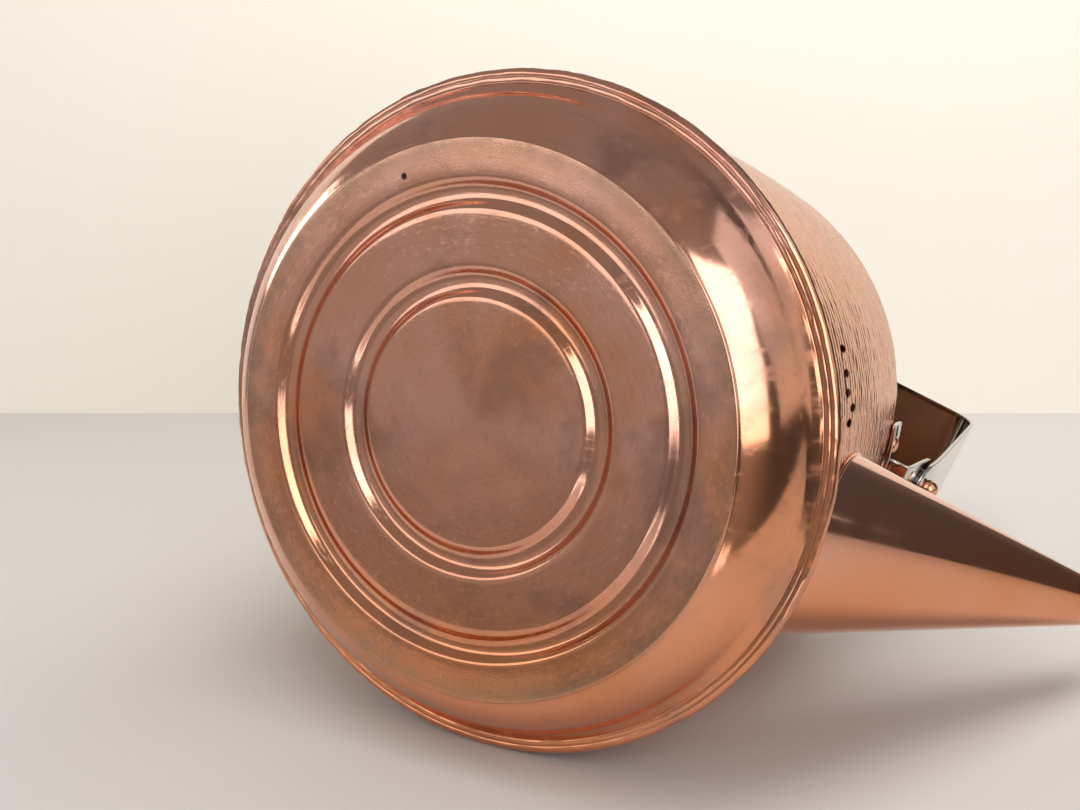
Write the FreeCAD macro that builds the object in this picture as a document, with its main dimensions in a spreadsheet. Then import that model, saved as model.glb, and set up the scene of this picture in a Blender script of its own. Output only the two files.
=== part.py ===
import FreeCAD, Part
import math
import os
import Sketcher

# A hammered copper kettle with a seamed base pan, a long straight spout, a lift-off lid
# and a steel bail that folds to either side. Millimetres. The kettle stands on z = 0 with
# its axis on Z, and the spout points along +X.

V = FreeCAD.Vector
X_AXIS, Y_AXIS, Z_AXIS = V(1, 0, 0), V(0, 1, 0), V(0, 0, 1)

SIZES = [
    ("arc_slack", 0.001, "a half round drawn as an arc is this much larger, so that its sketch solves"),
    ("sheet", 1.2, "copper sheet"),
    ("strip", 1.5, "steel strip of the ears and the bail"),
    ("lap", 0.05, "faces pressed together are drawn this far apart"),
    ("drill_length", 20.0, "longer than any wall it passes through"),
    # base pan
    ("foot_radius", 83.5, "outer edge of the flat foot ring"),
    ("foot_corner", 2.4, "bend between the foot ring and the skirt"),
    ("bend_end_in", 0.24, "the bend ends this far in from the foot's edge"),
    ("bend_end_up", 0.84, "and this far up"),
    ("bend_skin", 0.9, "the bend's inside face is this much higher"),
    ("corner_shift", 0.48, "a groove's corner moves this far on the inside"),
    ("ring_rise", 0.4, "the ring between the grooves stands this far off the table"),
    ("disc_rise", 0.7, "and the centre disc this far"),
    ("groove_depth", 2.2, "both pressed grooves"),
    ("groove_wall", 2.0, "width of a groove's sloping wall"),
    ("inner_groove_start", 37.6, "radius"),
    ("inner_groove_end", 46.0, "radius"),
    ("outer_groove_start", 63.4, "radius"),
    ("outer_groove_end", 71.7, "radius"),
    ("skirt_bow", 32.0, "radius of the skirt's bowed section"),
    ("skirt_radius", 98.6, "top of the skirt"),
    ("skirt_height", 18.6, "top of the skirt"),
    ("skirt_skin_in", 0.96, "the skirt's inside face at its top, inwards"),
    ("skirt_skin_up", 0.72, "and upwards"),
    ("skirt_turn", 1.08, "the skirt turns out into the seam this far beyond its top"),
    # folded seam
    ("seam_radius", 105.1, "outermost edge of the kettle's round body"),
    ("seam_bottom", 21.0, "underside of the fold"),
    ("seam_thickness", 3.5, "four layers of sheet"),
    ("seam_width", 4.1, "how far the fold stands out"),
    ("flange_short", 0.2, "the wall's flange ends this far inside the fold"),
    ("flange_root", 0.3, "it leaves the wall this far out"),
    # hammered wall
    ("wall_low_radius", 100.4, "just above the seam"),
    ("wall_low", 25.0, "height there"),
    ("wall_high_radius", 84.0, "where the shoulder begins"),
    ("wall_high", 158.0, "height there"),
    ("wall_bow", 1600.0, "radius of the wall's faint bow"),
    ("skin_slant", 0.24, "how far the inside face shifts along a slanted sheet"),
    ("shoulder_bend", 10.0, "radius of the shoulder"),
    ("dome_radius", 75.5, "outer edge of the dome on top"),
    ("dome_height", 166.6, "height there"),
    ("dome_bow", 150.0, "radius of the dome's section"),
    ("mouth_radius", 56.0, "inside of the neck"),
    ("neck_foot", 171.0, "where the dome turns up"),
    ("neck_top", 174.0, "top of the neck"),
    ("mouth_ring_top", 176.9, "top of the ring on the neck"),
    ("mouth_ring_in", 0.4, "the ring reaches this far inside the neck"),
    ("mouth_ring_out", 1.4, "and this far outside it"),
    ("mouth_ring_round", 1.0, "rounding of its upper edge"),
    # spout
    ("spout_reach", 96.0, "the spout's axis crosses the wall here"),
    ("spout_height", 73.3, "and at this height"),
    ("spout_rise", 49.5, "degrees above the table"),
    ("spout_root_radius", 28.6, "outside, where the axis crosses the wall"),
    ("spout_tip_radius", 6.8, "outside, at the tip"),
    ("spout_length", 114.0, "from the wall to the tip"),
    ("spout_tail", 34.0, "the cone carried on inside the wall, then trimmed"),
    ("lip_width", 2.6, "rolled lip, along the spout"),
    ("lip_stand", 1.0, "the lip stands this far outside the tip"),
    # lid
    ("lid_radius", 60.5, "edge of the lid"),
    ("lid_seat", 177.2, "underside of the lid's rim"),
    ("lid_rim_inner", 50.0, "the rim is flat in to this radius"),
    ("lid_bow", 122.0, "radius of the lid's dome"),
    ("lid_crown", 189.0, "top of the lid"),
    ("lid_crown_flat", 10.0, "radius of the flat under the knob"),
    ("skirt_ring_radius", 54.8, "outside of the ring that enters the mouth"),
    ("skirt_ring_depth", 11.0, "depth of that ring"),
    ("steam_hole_radius", 1.8, "hole in the lid"),
    ("steam_hole_reach", 34.0, "distance from the axis"),
    ("knob_plate_radius", 10.0, "plate under the knob"),
    ("knob_plate_thickness", 1.6, ""),
    ("knob_neck_radius", 7.0, "the knob's narrow foot"),
    ("knob_radius", 15.0, "the knob at its widest"),
    ("knob_height", 21.0, "above its plate"),
    ("knob_waist_in", 0.8, "the waist is this much narrower than the foot"),
    ("knob_waist", 0.28, "height of the waist, of the knob's height"),
    ("knob_widest", 0.66, "height of its widest place"),
    ("knob_flare", 0.7, "radius of the hollow below that, of the knob's height"),
    ("knob_hole_depth", 0.62, "depth of its blind hole, of the knob's height"),
    ("knob_plate_bevel", 1.0, ""),
    ("knob_screw_radius", 2.0, ""),
    ("knob_screw_gap", 0.1, "round the screw in the plate and the lid"),
    ("knob_screw_reach", 0.6, "how far into the knob it goes, of the knob's height"),
    ("knob_screw_head", 5.0, "radius of the screw's head"),
    ("knob_screw_head_height", 2.6, ""),
    ("knob_screw_slant", 0.7, "the head's face, of the head's radius"),
    # ears, one above the spout and one behind
    ("foot_half_angle", 17.0, "degrees, half of the ear's foot round the wall"),
    ("ear_foot_bottom", 150.0, "lower edge of the ear's foot"),
    ("foot_lean", 1.35, "that edge stands this much further out than the wall's top"),
    ("foot_gap", 0.15, "between the foot and the wall"),
    ("ear_shelf", 162.0, "underside of the shelf that stands out from the foot"),
    ("ear_half_width", 11.0, "half width of the shelf and the lug"),
    ("ear_face", 92.0, "outer face of the upright lug"),
    ("ear_bend", 2.6, "outside radius of the bend"),
    ("shelf_root", 0.5, "the shelf starts this far out of the wall"),
    ("pivot_height", 192.0, "height of the bail's axis"),
    ("pin_radius", 2.5, ""),
    ("ball_radius", 3.7, "the pin's round head"),
    ("ball_cut", 60.0, "degrees, where the arm cuts the ball off"),
    ("pin_tail_radius", 4.2, "the pin's closed end, inside the lug"),
    ("pin_tail_height", 1.4, ""),
    ("pin_tail_bevel", 0.8, ""),
    ("washer_radius", 6.0, ""),
    ("washer_thickness", 0.8, ""),
    ("running_gap", 0.06, "round the pin, in the bail's holes"),
    ("face_gap", 0.05, "between faces that rub"),
    ("rivet_radius", 1.6, "shank of a foot rivet"),
    ("rivet_head_radius", 3.2, ""),
    ("rivet_head_height", 1.6, ""),
    ("rivet_tail", 2.8, "radius of its closed end, inside the wall"),
    ("rivet_tail_height", 1.2, ""),
    ("rivet_tail_gap", 0.1, "between the wall and the closed end"),
    ("rivet_drill", 10.0, "length of the holes' drill"),
    ("rivet_drill_in", 8.0, "how far in from the ear's face it starts"),
    ("rivet_angle", 12.0, "degrees to each side of the ear"),
    ("rivet_height", 154.5, ""),
    ("rivet_tilt", 9.5, "degrees, because the wall leans in"),
    # bail and grip
    ("bail_top", 273.5, "top of the crossbar"),
    ("bail_corner_radius", 90.0, "how far out the arms are below the top bend"),
    ("bail_corner", 262.0, "height there"),
    ("bail_bend", 11.5, "outside radius of the top bend"),
    ("bail_flare_start", 200.0, "the arms lean in from here up"),
    ("bail_half_width", 16.0, "crossbar"),
    ("bail_end_half_width", 9.5, "round end of an arm"),
    ("grip_length", 106.0, ""),
    ("grip_half_width", 15.0, ""),
    ("grip_upper_rise", 12.0, "thickness of the upper scale at its middle"),
    ("grip_lower_drop", 9.0, "thickness of the lower scale at its middle"),
    ("grip_end_thickness", 5.0, "thickness of both at their ends"),
    ("grip_rivet_reach", 34.0, "from the middle of the grip"),
    ("grip_rivet_radius", 2.2, ""),
    ("grip_rivet_head", 4.0, "radius of its heads"),
    ("grip_rivet_crown", 1.6, "height of its heads"),
    ("grip_rivet_top", 7.8, "edge of the upper head, above the crossbar"),
    ("grip_rivet_low", 5.8, "edge of the lower head, below the crossbar"),
    ("grip_round", 4.0, "rounding along the grip's edges"),
]

# Inner face of the bail's arms beside the ears.
ARM_FACE = "(dims.ear_face + dims.washer_thickness + 2 * dims.face_gap)"

doc = FreeCAD.newDocument("hammered_kettle")
sheet = doc.addObject("Spreadsheet::Sheet", "dims")
for row, (alias, size, note) in enumerate(SIZES, start=1):
    sheet.set("A%d" % row, str(size))
    sheet.setAlias("A%d" % row, alias)
    sheet.set("B%d" % row, note)
doc.recompute()


def value(expression):
    """An expression on the sheet's cells, worked out as a plain number."""
    number = sheet.evalExpression(expression)
    return getattr(number, "Value", number)


def arc_between(start, end, radius, turns_left):
    """The short arc from start to end. Returns it, and whether it runs from end to start."""
    chord = end - start
    half = chord.Length / 2
    side = V(-chord.y, chord.x, 0).normalize() * math.sqrt(max(radius ** 2 - half ** 2, 0))
    centre = (start + end) / 2 + (side if turns_left else -side)
    first, last = (start, end) if turns_left else (end, start)
    first_angle = math.atan2(first.y - centre.y, first.x - centre.x)
    last_angle = math.atan2(last.y - centre.y, last.x - centre.x)
    if last_angle < first_angle:
        last_angle += 2 * math.pi
    circle = Part.Circle(centre, Z_AXIS, radius)
    return Part.ArcOfCircle(circle, first_angle, last_angle), not turns_left


def outline(body, role, corners, arcs=None):
    """A closed sketch through corners given as pairs of expressions.

    arcs maps a corner's number to the arc that leaves it: +1 turns left or -1 turns right,
    and the expression of its radius."""
    arcs = arcs or {}
    sketch = body.newObject("Sketcher::SketchObject", body.Name + "_outline")
    plane = [p for p in body.Origin.OriginFeatures if p.Role == role][0]
    sketch.AttachmentSupport = (plane, "")
    sketch.MapMode = "FlatFace"
    points = [V(value(x), value(y), 0) for x, y in corners]
    ends = []
    for i, start in enumerate(points):
        end = points[(i + 1) % len(points)]
        if i in arcs:
            turn, radius = arcs[i]
            curve, backwards = arc_between(start, end, value(radius), turn > 0)
            edge = sketch.addGeometry(curve, False)
            named = sketch.addConstraint(Sketcher.Constraint("Radius", edge, value(radius)))
            sketch.renameConstraint(named, "bend%d" % i)
            sketch.setExpression("Constraints.bend%d" % i, radius)
        else:
            edge = sketch.addGeometry(Part.LineSegment(start, end), False)
            backwards = False
        ends.append((edge, 2, 1) if backwards else (edge, 1, 2))
    for i, (edge, start_end, _) in enumerate(ends):
        before, _, before_end = ends[i - 1]
        sketch.addConstraint(Sketcher.Constraint("Coincident", before, before_end, edge, start_end))
        for kind, axis, expression in (("DistanceX", -2, corners[i][0]), ("DistanceY", -1, corners[i][1])):
            if expression == "0":
                sketch.addConstraint(Sketcher.Constraint("PointOnObject", edge, start_end, axis))
                continue
            limit = Sketcher.Constraint(kind, -1, 1, edge, start_end, value(expression))
            named = sketch.addConstraint(limit)
            sketch.renameConstraint(named, "%s%d" % (kind, i))
            sketch.setExpression("Constraints.%s%d" % (kind, i), expression)
    return sketch


def dome(edge, rise):
    """Radius of the sphere through a round edge and a crown on the axis, rise above it."""
    return "((%s)^2 + (%s)^2) / (2 * (%s))" % (edge, rise, rise)


def turned(label, corners, arcs=None, angle="360"):
    """A body of revolution about its own Z axis."""
    body = doc.addObject("PartDesign::Body", label)
    sketch = outline(body, "XZ_Plane", corners, arcs)
    spin = body.newObject("PartDesign::Revolution", label + "_turn")
    spin.Profile = sketch
    spin.ReferenceAxis = (sketch, ["V_Axis"])
    spin.Midplane = True
    spin.setExpression("Angle", angle)
    doc.recompute()
    return body


def padded(label, role, corners, width, arcs=None):
    """A flat outline given a width, half to each side of its plane."""
    body = doc.addObject("PartDesign::Body", label)
    sketch = outline(body, role, corners, arcs)
    pad = body.newObject("PartDesign::Pad", label + "_pad")
    pad.Profile = sketch
    pad.Midplane = True
    pad.setExpression("Length", width)
    doc.recompute()
    return body


def rounded(body, radius, keep):
    """Rounds the edges of a body's last feature that keep(edge) picks."""
    last = body.Tip
    names = ["Edge%d" % (i + 1) for i, edge in enumerate(last.Shape.Edges) if keep(edge)]
    fillet = body.newObject("PartDesign::Fillet", body.Name + "_round")
    fillet.Base = (last, names)
    fillet.setExpression("Radius", radius)
    doc.recompute()
    return body


def set_place(thing, position, axis=Z_AXIS, degrees="0"):
    """Binds a placement: three expressions for the position and one for the angle."""
    thing.Placement = FreeCAD.Placement(V(0, 0, 0), FreeCAD.Rotation(axis, 1))
    for letter, expression in zip("xyz", position):
        thing.setExpression("Placement.Base." + letter, expression)
    thing.setExpression("Placement.Rotation.Angle", degrees)
    return thing


def rod(name, radius, length, position, axis=Z_AXIS, degrees="0"):
    cylinder = doc.addObject("Part::Cylinder", name)
    cylinder.setExpression("Radius", radius)
    cylinder.setExpression("Height", length)
    return set_place(cylinder, position, axis, degrees)


def cut(label, base, *tools):
    tool = tools[0] if len(tools) == 1 else join(label + "_tools", *tools)
    result = doc.addObject("Part::Cut", label)
    result.Base, result.Tool = base, tool
    return result


def join(label, *pieces):
    result = doc.addObject("Part::MultiFuse", label)
    result.Shapes = list(pieces)
    return result


def common(label, first, second):
    result = doc.addObject("Part::MultiCommon", label)
    result.Shapes = [first, second]
    return result


def group(label, *pieces):
    """Separate solids kept together in one node."""
    result = doc.addObject("Part::Compound", label)
    result.Links = list(pieces)
    return result


def base_pan():
    """Spun pan: two pressed grooves, a foot ring, a bowed skirt and the folded seam."""
    disc, ring, deep = "dims.disc_rise", "dims.ring_rise", "dims.groove_depth"
    wall, skin, shift = "dims.groove_wall", "dims.sheet", "dims.corner_shift"
    fold = "dims.seam_radius - dims.seam_thickness / 2"
    fold_top = "dims.seam_bottom + dims.seam_thickness"
    inner_a, inner_b = "dims.inner_groove_start", "dims.inner_groove_end"
    outer_a, outer_b = "dims.outer_groove_start", "dims.outer_groove_end"
    bend = "dims.foot_corner"
    under = [
        ("0", disc),
        (inner_a, disc),
        ("%s + %s" % (inner_a, wall), "%s + %s" % (disc, deep)),
        ("%s - %s" % (inner_b, wall), "%s + %s" % (disc, deep)),
        (inner_b, ring),
        (outer_a, ring),
        ("%s + %s" % (outer_a, wall), "%s + %s" % (ring, deep)),
        ("%s - %s" % (outer_b, wall), "%s + %s" % (ring, deep)),
        (outer_b, "0"),
        ("dims.foot_radius - %s" % bend, "0"),
        ("dims.foot_radius - dims.bend_end_in", "dims.bend_end_up"),
        ("dims.skirt_radius", "dims.skirt_height"),
        ("dims.seam_radius - dims.seam_width - dims.sheet", "dims.seam_bottom"),
        (fold, "dims.seam_bottom"),
        (fold, fold_top),
        ("dims.seam_radius - dims.seam_width", fold_top),
        ("dims.seam_radius - dims.seam_width", "%s - %s + dims.lap" % (fold_top, skin)),
        (fold, "%s - %s + dims.lap" % (fold_top, skin)),
        (fold, "dims.seam_bottom + %s - dims.lap" % skin),
    ]
    inside = [
        ("dims.skirt_radius + dims.skirt_turn", "dims.seam_bottom + %s - dims.lap" % skin),
        ("dims.skirt_radius - dims.skirt_skin_in", "dims.skirt_height + dims.skirt_skin_up"),
        ("dims.foot_radius - %s" % skin, "dims.bend_end_up + dims.bend_skin"),
        ("dims.foot_radius - %s - %s" % (bend, shift), skin),
        ("%s + %s" % (outer_b, shift), skin),
        ("%s - %s + %s" % (outer_b, wall, shift), "%s + %s + %s" % (ring, deep, skin)),
        ("%s + %s - %s" % (outer_a, wall, shift), "%s + %s + %s" % (ring, deep, skin)),
        ("%s - %s" % (outer_a, shift), "%s + %s" % (ring, skin)),
        ("%s + %s" % (inner_b, shift), "%s + %s" % (ring, skin)),
        ("%s - %s + %s" % (inner_b, wall, shift), "%s + %s + %s" % (disc, deep, skin)),
        ("%s + %s - %s" % (inner_a, wall, shift), "%s + %s + %s" % (disc, deep, skin)),
        ("%s - %s" % (inner_a, shift), "%s + %s" % (disc, skin)),
        ("0", "%s + %s" % (disc, skin)),
    ]
    arcs = {
        9: (1, bend),
        10: (1, "dims.skirt_bow"),
        13: (1, "dims.seam_thickness / 2 + dims.arc_slack"),
        len(under) + 1: (-1, "dims.skirt_bow - %s" % skin),
    }
    return turned("base_pan", under + inside, arcs)


def wall_skin():
    """The kettle's wall, shoulder, dome and neck as one spun sheet, before its holes."""
    skin = "dims.sheet"
    flange_low = "dims.seam_bottom + dims.sheet"
    flange_high = "dims.seam_bottom + dims.seam_thickness - dims.sheet"
    flange_edge = "dims.seam_radius - dims.seam_thickness / 2 - dims.flange_short"
    outer = [
        ("dims.wall_low_radius - %s" % skin, flange_low),
        (flange_edge, flange_low),
        (flange_edge, flange_high),
        ("dims.wall_low_radius + dims.flange_root", flange_high),
        ("dims.wall_low_radius", "dims.wall_low"),
        ("dims.wall_high_radius", "dims.wall_high"),
        ("dims.dome_radius", "dims.dome_height"),
        ("dims.mouth_radius + %s" % skin, "dims.neck_foot"),
        ("dims.mouth_radius + %s" % skin, "dims.neck_top"),
        ("dims.mouth_radius", "dims.neck_top"),
        ("dims.mouth_radius", "dims.neck_foot - %s" % skin),
        ("dims.dome_radius - dims.skin_slant", "dims.dome_height - %s" % skin),
        ("dims.wall_high_radius - %s" % skin, "dims.wall_high - dims.skin_slant"),
        ("dims.wall_low_radius - %s" % skin, "dims.wall_low"),
    ]
    arcs = {
        4: (1, "dims.wall_bow"),
        5: (1, "dims.shoulder_bend"),
        6: (1, "dims.dome_bow"),
        10: (-1, "dims.dome_bow - %s" % skin),
        11: (-1, "dims.shoulder_bend - %s" % skin),
        12: (-1, "dims.wall_bow - %s" % skin),
    }
    return turned("wall_skin", outer, arcs)


def wall_solid():
    """Everything within the wall's outside, which trims the spout's root."""
    corners = [
        ("0", "0"),
        ("dims.wall_low_radius", "0"),
        ("dims.wall_low_radius", "dims.wall_low"),
        ("dims.wall_high_radius", "dims.wall_high"),
        ("0", "dims.wall_high"),
    ]
    return turned("wall_solid", corners, {2: (1, "dims.wall_bow")})


def spout_cone(name, thinner):
    """A cone along the spout, from inside the wall to the tip, thinner by an expression."""
    slope = "(dims.spout_root_radius - dims.spout_tip_radius) / dims.spout_length"
    cone = doc.addObject("Part::Cone", name)
    cone.setExpression("Radius1", "dims.spout_root_radius + dims.spout_tail * %s - %s" % (slope, thinner))
    cone.setExpression("Radius2", "dims.spout_tip_radius - %s" % thinner)
    cone.setExpression("Height", "dims.spout_length + dims.spout_tail")
    start = (
        "dims.spout_reach - dims.spout_tail * cos(dims.spout_rise)",
        "0",
        "dims.spout_height - dims.spout_tail * sin(dims.spout_rise)",
    )
    return set_place(cone, start, Y_AXIS, "90 - dims.spout_rise")


def spout():
    """A straight tapered tube, trimmed to lie on the wall."""
    tube = cut("spout_tube", spout_cone("spout_outside", "0"), spout_cone("spout_bore", "dims.sheet"))
    return cut("spout", tube, wall_solid())


def spout_lip():
    """The tip's rolled edge: a ring with a round outside."""
    bore = "dims.spout_tip_radius - dims.sheet"
    edge = "dims.spout_tip_radius + dims.lip_stand - dims.lip_width / 2"
    corners = [(bore, "0"), (edge, "0"), (edge, "dims.lip_width"), (bore, "dims.lip_width")]
    ring = turned("spout_lip", corners, {1: (1, "dims.lip_width / 2 + dims.arc_slack")})
    tip = (
        "dims.spout_reach + dims.spout_length * cos(dims.spout_rise)",
        "0",
        "dims.spout_height + dims.spout_length * sin(dims.spout_rise)",
    )
    return set_place(ring, tip, Y_AXIS, "90 - dims.spout_rise")


def mouth_ring():
    """A beaded ring on the neck, which the lid rests on."""
    inner = "dims.mouth_radius - dims.mouth_ring_in"
    outer = "dims.mouth_radius + dims.sheet + dims.mouth_ring_out"
    bead = "dims.mouth_ring_round"
    corners = [
        (inner, "dims.neck_top"),
        (outer, "dims.neck_top"),
        (outer, "dims.mouth_ring_top - " + bead),
        ("%s - %s" % (outer, bead), "dims.mouth_ring_top"),
        (inner, "dims.mouth_ring_top"),
    ]
    return turned("mouth_ring", corners, {2: (1, bead)})


def lid_shell():
    """The lid: a flat rim, a low dome, a screw hole and a steam hole."""
    skin = "dims.sheet"
    hole = "dims.knob_screw_radius + dims.knob_screw_gap"
    corners = [
        (hole, "dims.lid_crown - %s" % skin),
        ("dims.lid_crown_flat", "dims.lid_crown - %s" % skin),
        ("dims.lid_rim_inner", "dims.lid_seat"),
        ("dims.lid_radius", "dims.lid_seat"),
        ("dims.lid_radius", "dims.lid_seat + %s" % skin),
        ("dims.lid_rim_inner", "dims.lid_seat + %s" % skin),
        ("dims.lid_crown_flat", "dims.lid_crown"),
        (hole, "dims.lid_crown"),
    ]
    arcs = {1: (-1, "dims.lid_bow"), 3: (1, "%s / 2 + dims.arc_slack" % skin), 5: (1, "dims.lid_bow")}
    steam = ("0", "-dims.steam_hole_reach", "dims.lid_seat")
    drill = rod("steam_drill", "dims.steam_hole_radius", "dims.drill_length", steam)
    return cut("lid_shell", turned("lid_dome", corners, arcs), drill)


def lid_skirt():
    """The ring under the lid that keeps it in the mouth."""
    outer, inner = "dims.skirt_ring_radius", "dims.skirt_ring_radius - dims.sheet"
    low = "dims.lid_seat - dims.skirt_ring_depth"
    corners = [(inner, low), (outer, low), (outer, "dims.lid_seat"), (inner, "dims.lid_seat")]
    return turned("lid_skirt", corners)


def knob_plate():
    """The steel plate between the lid and the knob."""
    hole = "dims.knob_screw_radius + dims.knob_screw_gap"
    low, top = "dims.lid_crown", "dims.lid_crown + dims.knob_plate_thickness"
    rim, bevel = "dims.knob_plate_radius", "dims.knob_plate_bevel"
    corners = [(hole, low), (rim, low), ("%s - %s" % (rim, bevel), top), (hole, top)]
    return turned("knob_plate", corners)


def lid_knob():
    """A turned mushroom knob with a blind screw hole."""
    low = "dims.lid_crown + dims.knob_plate_thickness"
    neck, wide, tall = "dims.knob_neck_radius", "dims.knob_radius", "dims.knob_height"
    hole, bottom = "dims.knob_screw_radius + dims.lap", "%s + %s * dims.knob_hole_depth" % (low, tall)
    corners = [
        (hole, low),
        (neck, low),
        ("%s - dims.knob_waist_in" % neck, "%s + %s * dims.knob_waist" % (low, tall)),
        (wide, "%s + %s * dims.knob_widest" % (low, tall)),
        ("0", "%s + %s" % (low, tall)),
        ("0", bottom),
        (hole, bottom),
    ]
    crown = dome(wide, "%s * (1 - dims.knob_widest)" % tall)
    arcs = {2: (-1, "%s * dims.knob_flare" % tall), 3: (1, crown)}
    return turned("lid_knob", corners, arcs)


def knob_screw():
    """Driven from inside the lid, up into the knob."""
    under = "dims.lid_crown - dims.sheet"
    low = "%s - dims.knob_screw_head_height" % under
    top = "dims.lid_crown + dims.knob_plate_thickness + dims.knob_height * dims.knob_screw_reach"
    corners = [
        ("0", low),
        ("dims.knob_screw_head * dims.knob_screw_slant", low),
        ("dims.knob_screw_head", under),
        ("dims.knob_screw_radius", under),
        ("dims.knob_screw_radius", top),
        ("0", top),
    ]
    return turned("knob_screw", corners)


def foot_rivet_seat(bearing):
    """Where a foot rivet's head meets the ear's foot, with Z pointing out of the wall."""
    below = value("dims.wall_high - dims.rivet_height") / value("dims.wall_high - dims.ear_foot_bottom")
    reach = value("dims.wall_high_radius + dims.foot_gap + dims.strip") + value("dims.foot_lean") * below
    turn = FreeCAD.Rotation(Z_AXIS, bearing)
    lean = FreeCAD.Rotation(Y_AXIS, 90 - value("dims.rivet_tilt"))
    position = turn.multVec(V(reach, 0, 0)) + V(0, 0, value("dims.rivet_height"))
    return FreeCAD.Placement(position, turn * lean)


def foot_rivet_bearings():
    return [value("dims.rivet_angle"), -value("dims.rivet_angle")]


def foot_rivet_holes(name):
    """Two short rods where the foot rivets pass through the ear's foot and the wall."""
    depth = FreeCAD.Placement(V(0, 0, -value("dims.rivet_drill_in")), FreeCAD.Rotation())
    holes = []
    for i, bearing in enumerate(foot_rivet_bearings()):
        hole = doc.addObject("Part::Cylinder", "%s_%d" % (name, i))
        hole.setExpression("Radius", "dims.rivet_radius")
        hole.setExpression("Height", "dims.rivet_drill")
        hole.Placement = foot_rivet_seat(bearing) * depth
        holes.append(hole)
    return holes


def foot_rivets(name):
    """Two copper rivets: round heads outside, closed ends inside the wall."""
    through = "-(dims.strip + 2 * dims.foot_gap + dims.sheet + dims.rivet_tail_gap)"
    end = "(%s - dims.rivet_tail_height)" % through
    corners = [
        ("0", end),
        ("dims.rivet_tail", end),
        ("dims.rivet_tail", through),
        ("dims.rivet_radius", through),
        ("dims.rivet_radius", "0"),
        ("dims.rivet_head_radius", "0"),
        ("0", "dims.rivet_head_height"),
    ]
    pair = []
    for i, bearing in enumerate(foot_rivet_bearings()):
        crown = dome("dims.rivet_head_radius", "dims.rivet_head_height")
        rivet = turned("%s_%d" % (name, i), corners, {5: (1, crown)})
        rivet.Placement = foot_rivet_seat(bearing)
        pair.append(rivet)
    return group(name, *pair)


def ear(name):
    """A foot curved to the wall, a shelf, and an upright lug for the pin."""
    wall, strip, gap = "dims.wall_high_radius", "dims.strip", "dims.foot_gap"
    low, shelf = "dims.ear_foot_bottom", "dims.ear_shelf"
    foot_corners = [
        ("%s + %s + dims.foot_lean" % (wall, gap), low),
        ("%s + %s + dims.foot_lean + %s" % (wall, gap, strip), low),
        ("%s + %s + %s" % (wall, gap, strip), "dims.wall_high"),
        ("%s + %s + %s" % (wall, gap, strip), "%s + %s" % (shelf, strip)),
        ("%s + %s" % (wall, gap), "%s + %s" % (shelf, strip)),
        ("%s + %s" % (wall, gap), "dims.wall_high"),
    ]
    foot = turned(name + "_foot", foot_corners, None, "2 * dims.foot_half_angle")
    face, bend, inside = "dims.ear_face", "dims.ear_bend", "(dims.ear_bend - dims.strip)"
    top = "dims.pivot_height + dims.ear_half_width"
    strip_corners = [
        ("%s + dims.shelf_root" % wall, shelf),
        ("%s - %s" % (face, bend), shelf),
        (face, "%s + %s" % (shelf, bend)),
        (face, top),
        ("%s - %s" % (face, strip), top),
        ("%s - %s" % (face, strip), "%s + %s" % (shelf, bend)),
        ("%s - %s" % (face, bend), "%s + %s" % (shelf, strip)),
        ("%s + dims.shelf_root" % wall, "%s + %s" % (shelf, strip)),
    ]
    half = "dims.ear_half_width"
    strip_arcs = {1: (1, bend), 5: (-1, inside)}
    bent = padded(name + "_strip", "XZ_Plane", strip_corners, "2 * " + half, strip_arcs)
    lug_corners = [
        ("-" + half, shelf),
        (half, shelf),
        (half, "dims.pivot_height"),
        ("-" + half, "dims.pivot_height"),
    ]
    lug_arcs = {2: (1, half + " + dims.arc_slack")}
    lug = padded(name + "_lug", "YZ_Plane", lug_corners, "2 * dims.seam_radius", lug_arcs)
    blank = join(name + "_blank", foot, common(name + "_bent", bent, lug))
    start = (face + " - dims.drill_length / 2", "0", "dims.pivot_height")
    pin_hole = rod(name + "_pin_hole", "dims.pin_radius", "dims.drill_length", start, Y_AXIS, "90")
    return cut(name, blank, pin_hole, *foot_rivet_holes(name + "_rivet_hole"))


def on_pivot(thing):
    """Lays a turned piece along the bail's axis: its own Z becomes X."""
    return set_place(thing, ("0", "0", "dims.pivot_height"), Y_AXIS, "90")


def washer(name):
    """A friction washer between the ear and the bail's arm."""
    near = "dims.ear_face + dims.face_gap"
    far = "%s + dims.washer_thickness" % near
    bore = "dims.pin_radius + dims.running_gap"
    corners = [(bore, near), ("dims.washer_radius", near), ("dims.washer_radius", far), (bore, far)]
    return on_pivot(turned(name, corners))


def pin(name):
    """A copper pin closed inside the ear, with a round head outside the arm."""
    tail = "(dims.ear_face - dims.strip - dims.face_gap)"
    seat = "(%s + dims.strip + dims.face_gap)" % ARM_FACE
    corners = [
        ("0", "%s - dims.pin_tail_height" % tail),
        ("dims.pin_tail_radius - dims.pin_tail_bevel", "%s - dims.pin_tail_height" % tail),
        ("dims.pin_tail_radius", tail),
        ("dims.pin_radius", tail),
        ("dims.pin_radius", seat),
        ("dims.ball_radius * sin(dims.ball_cut)", seat),
        ("0", "%s + dims.ball_radius * (1 + cos(dims.ball_cut))" % seat),
    ]
    return on_pivot(turned(name, corners, {5: (1, "dims.ball_radius")}))


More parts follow.
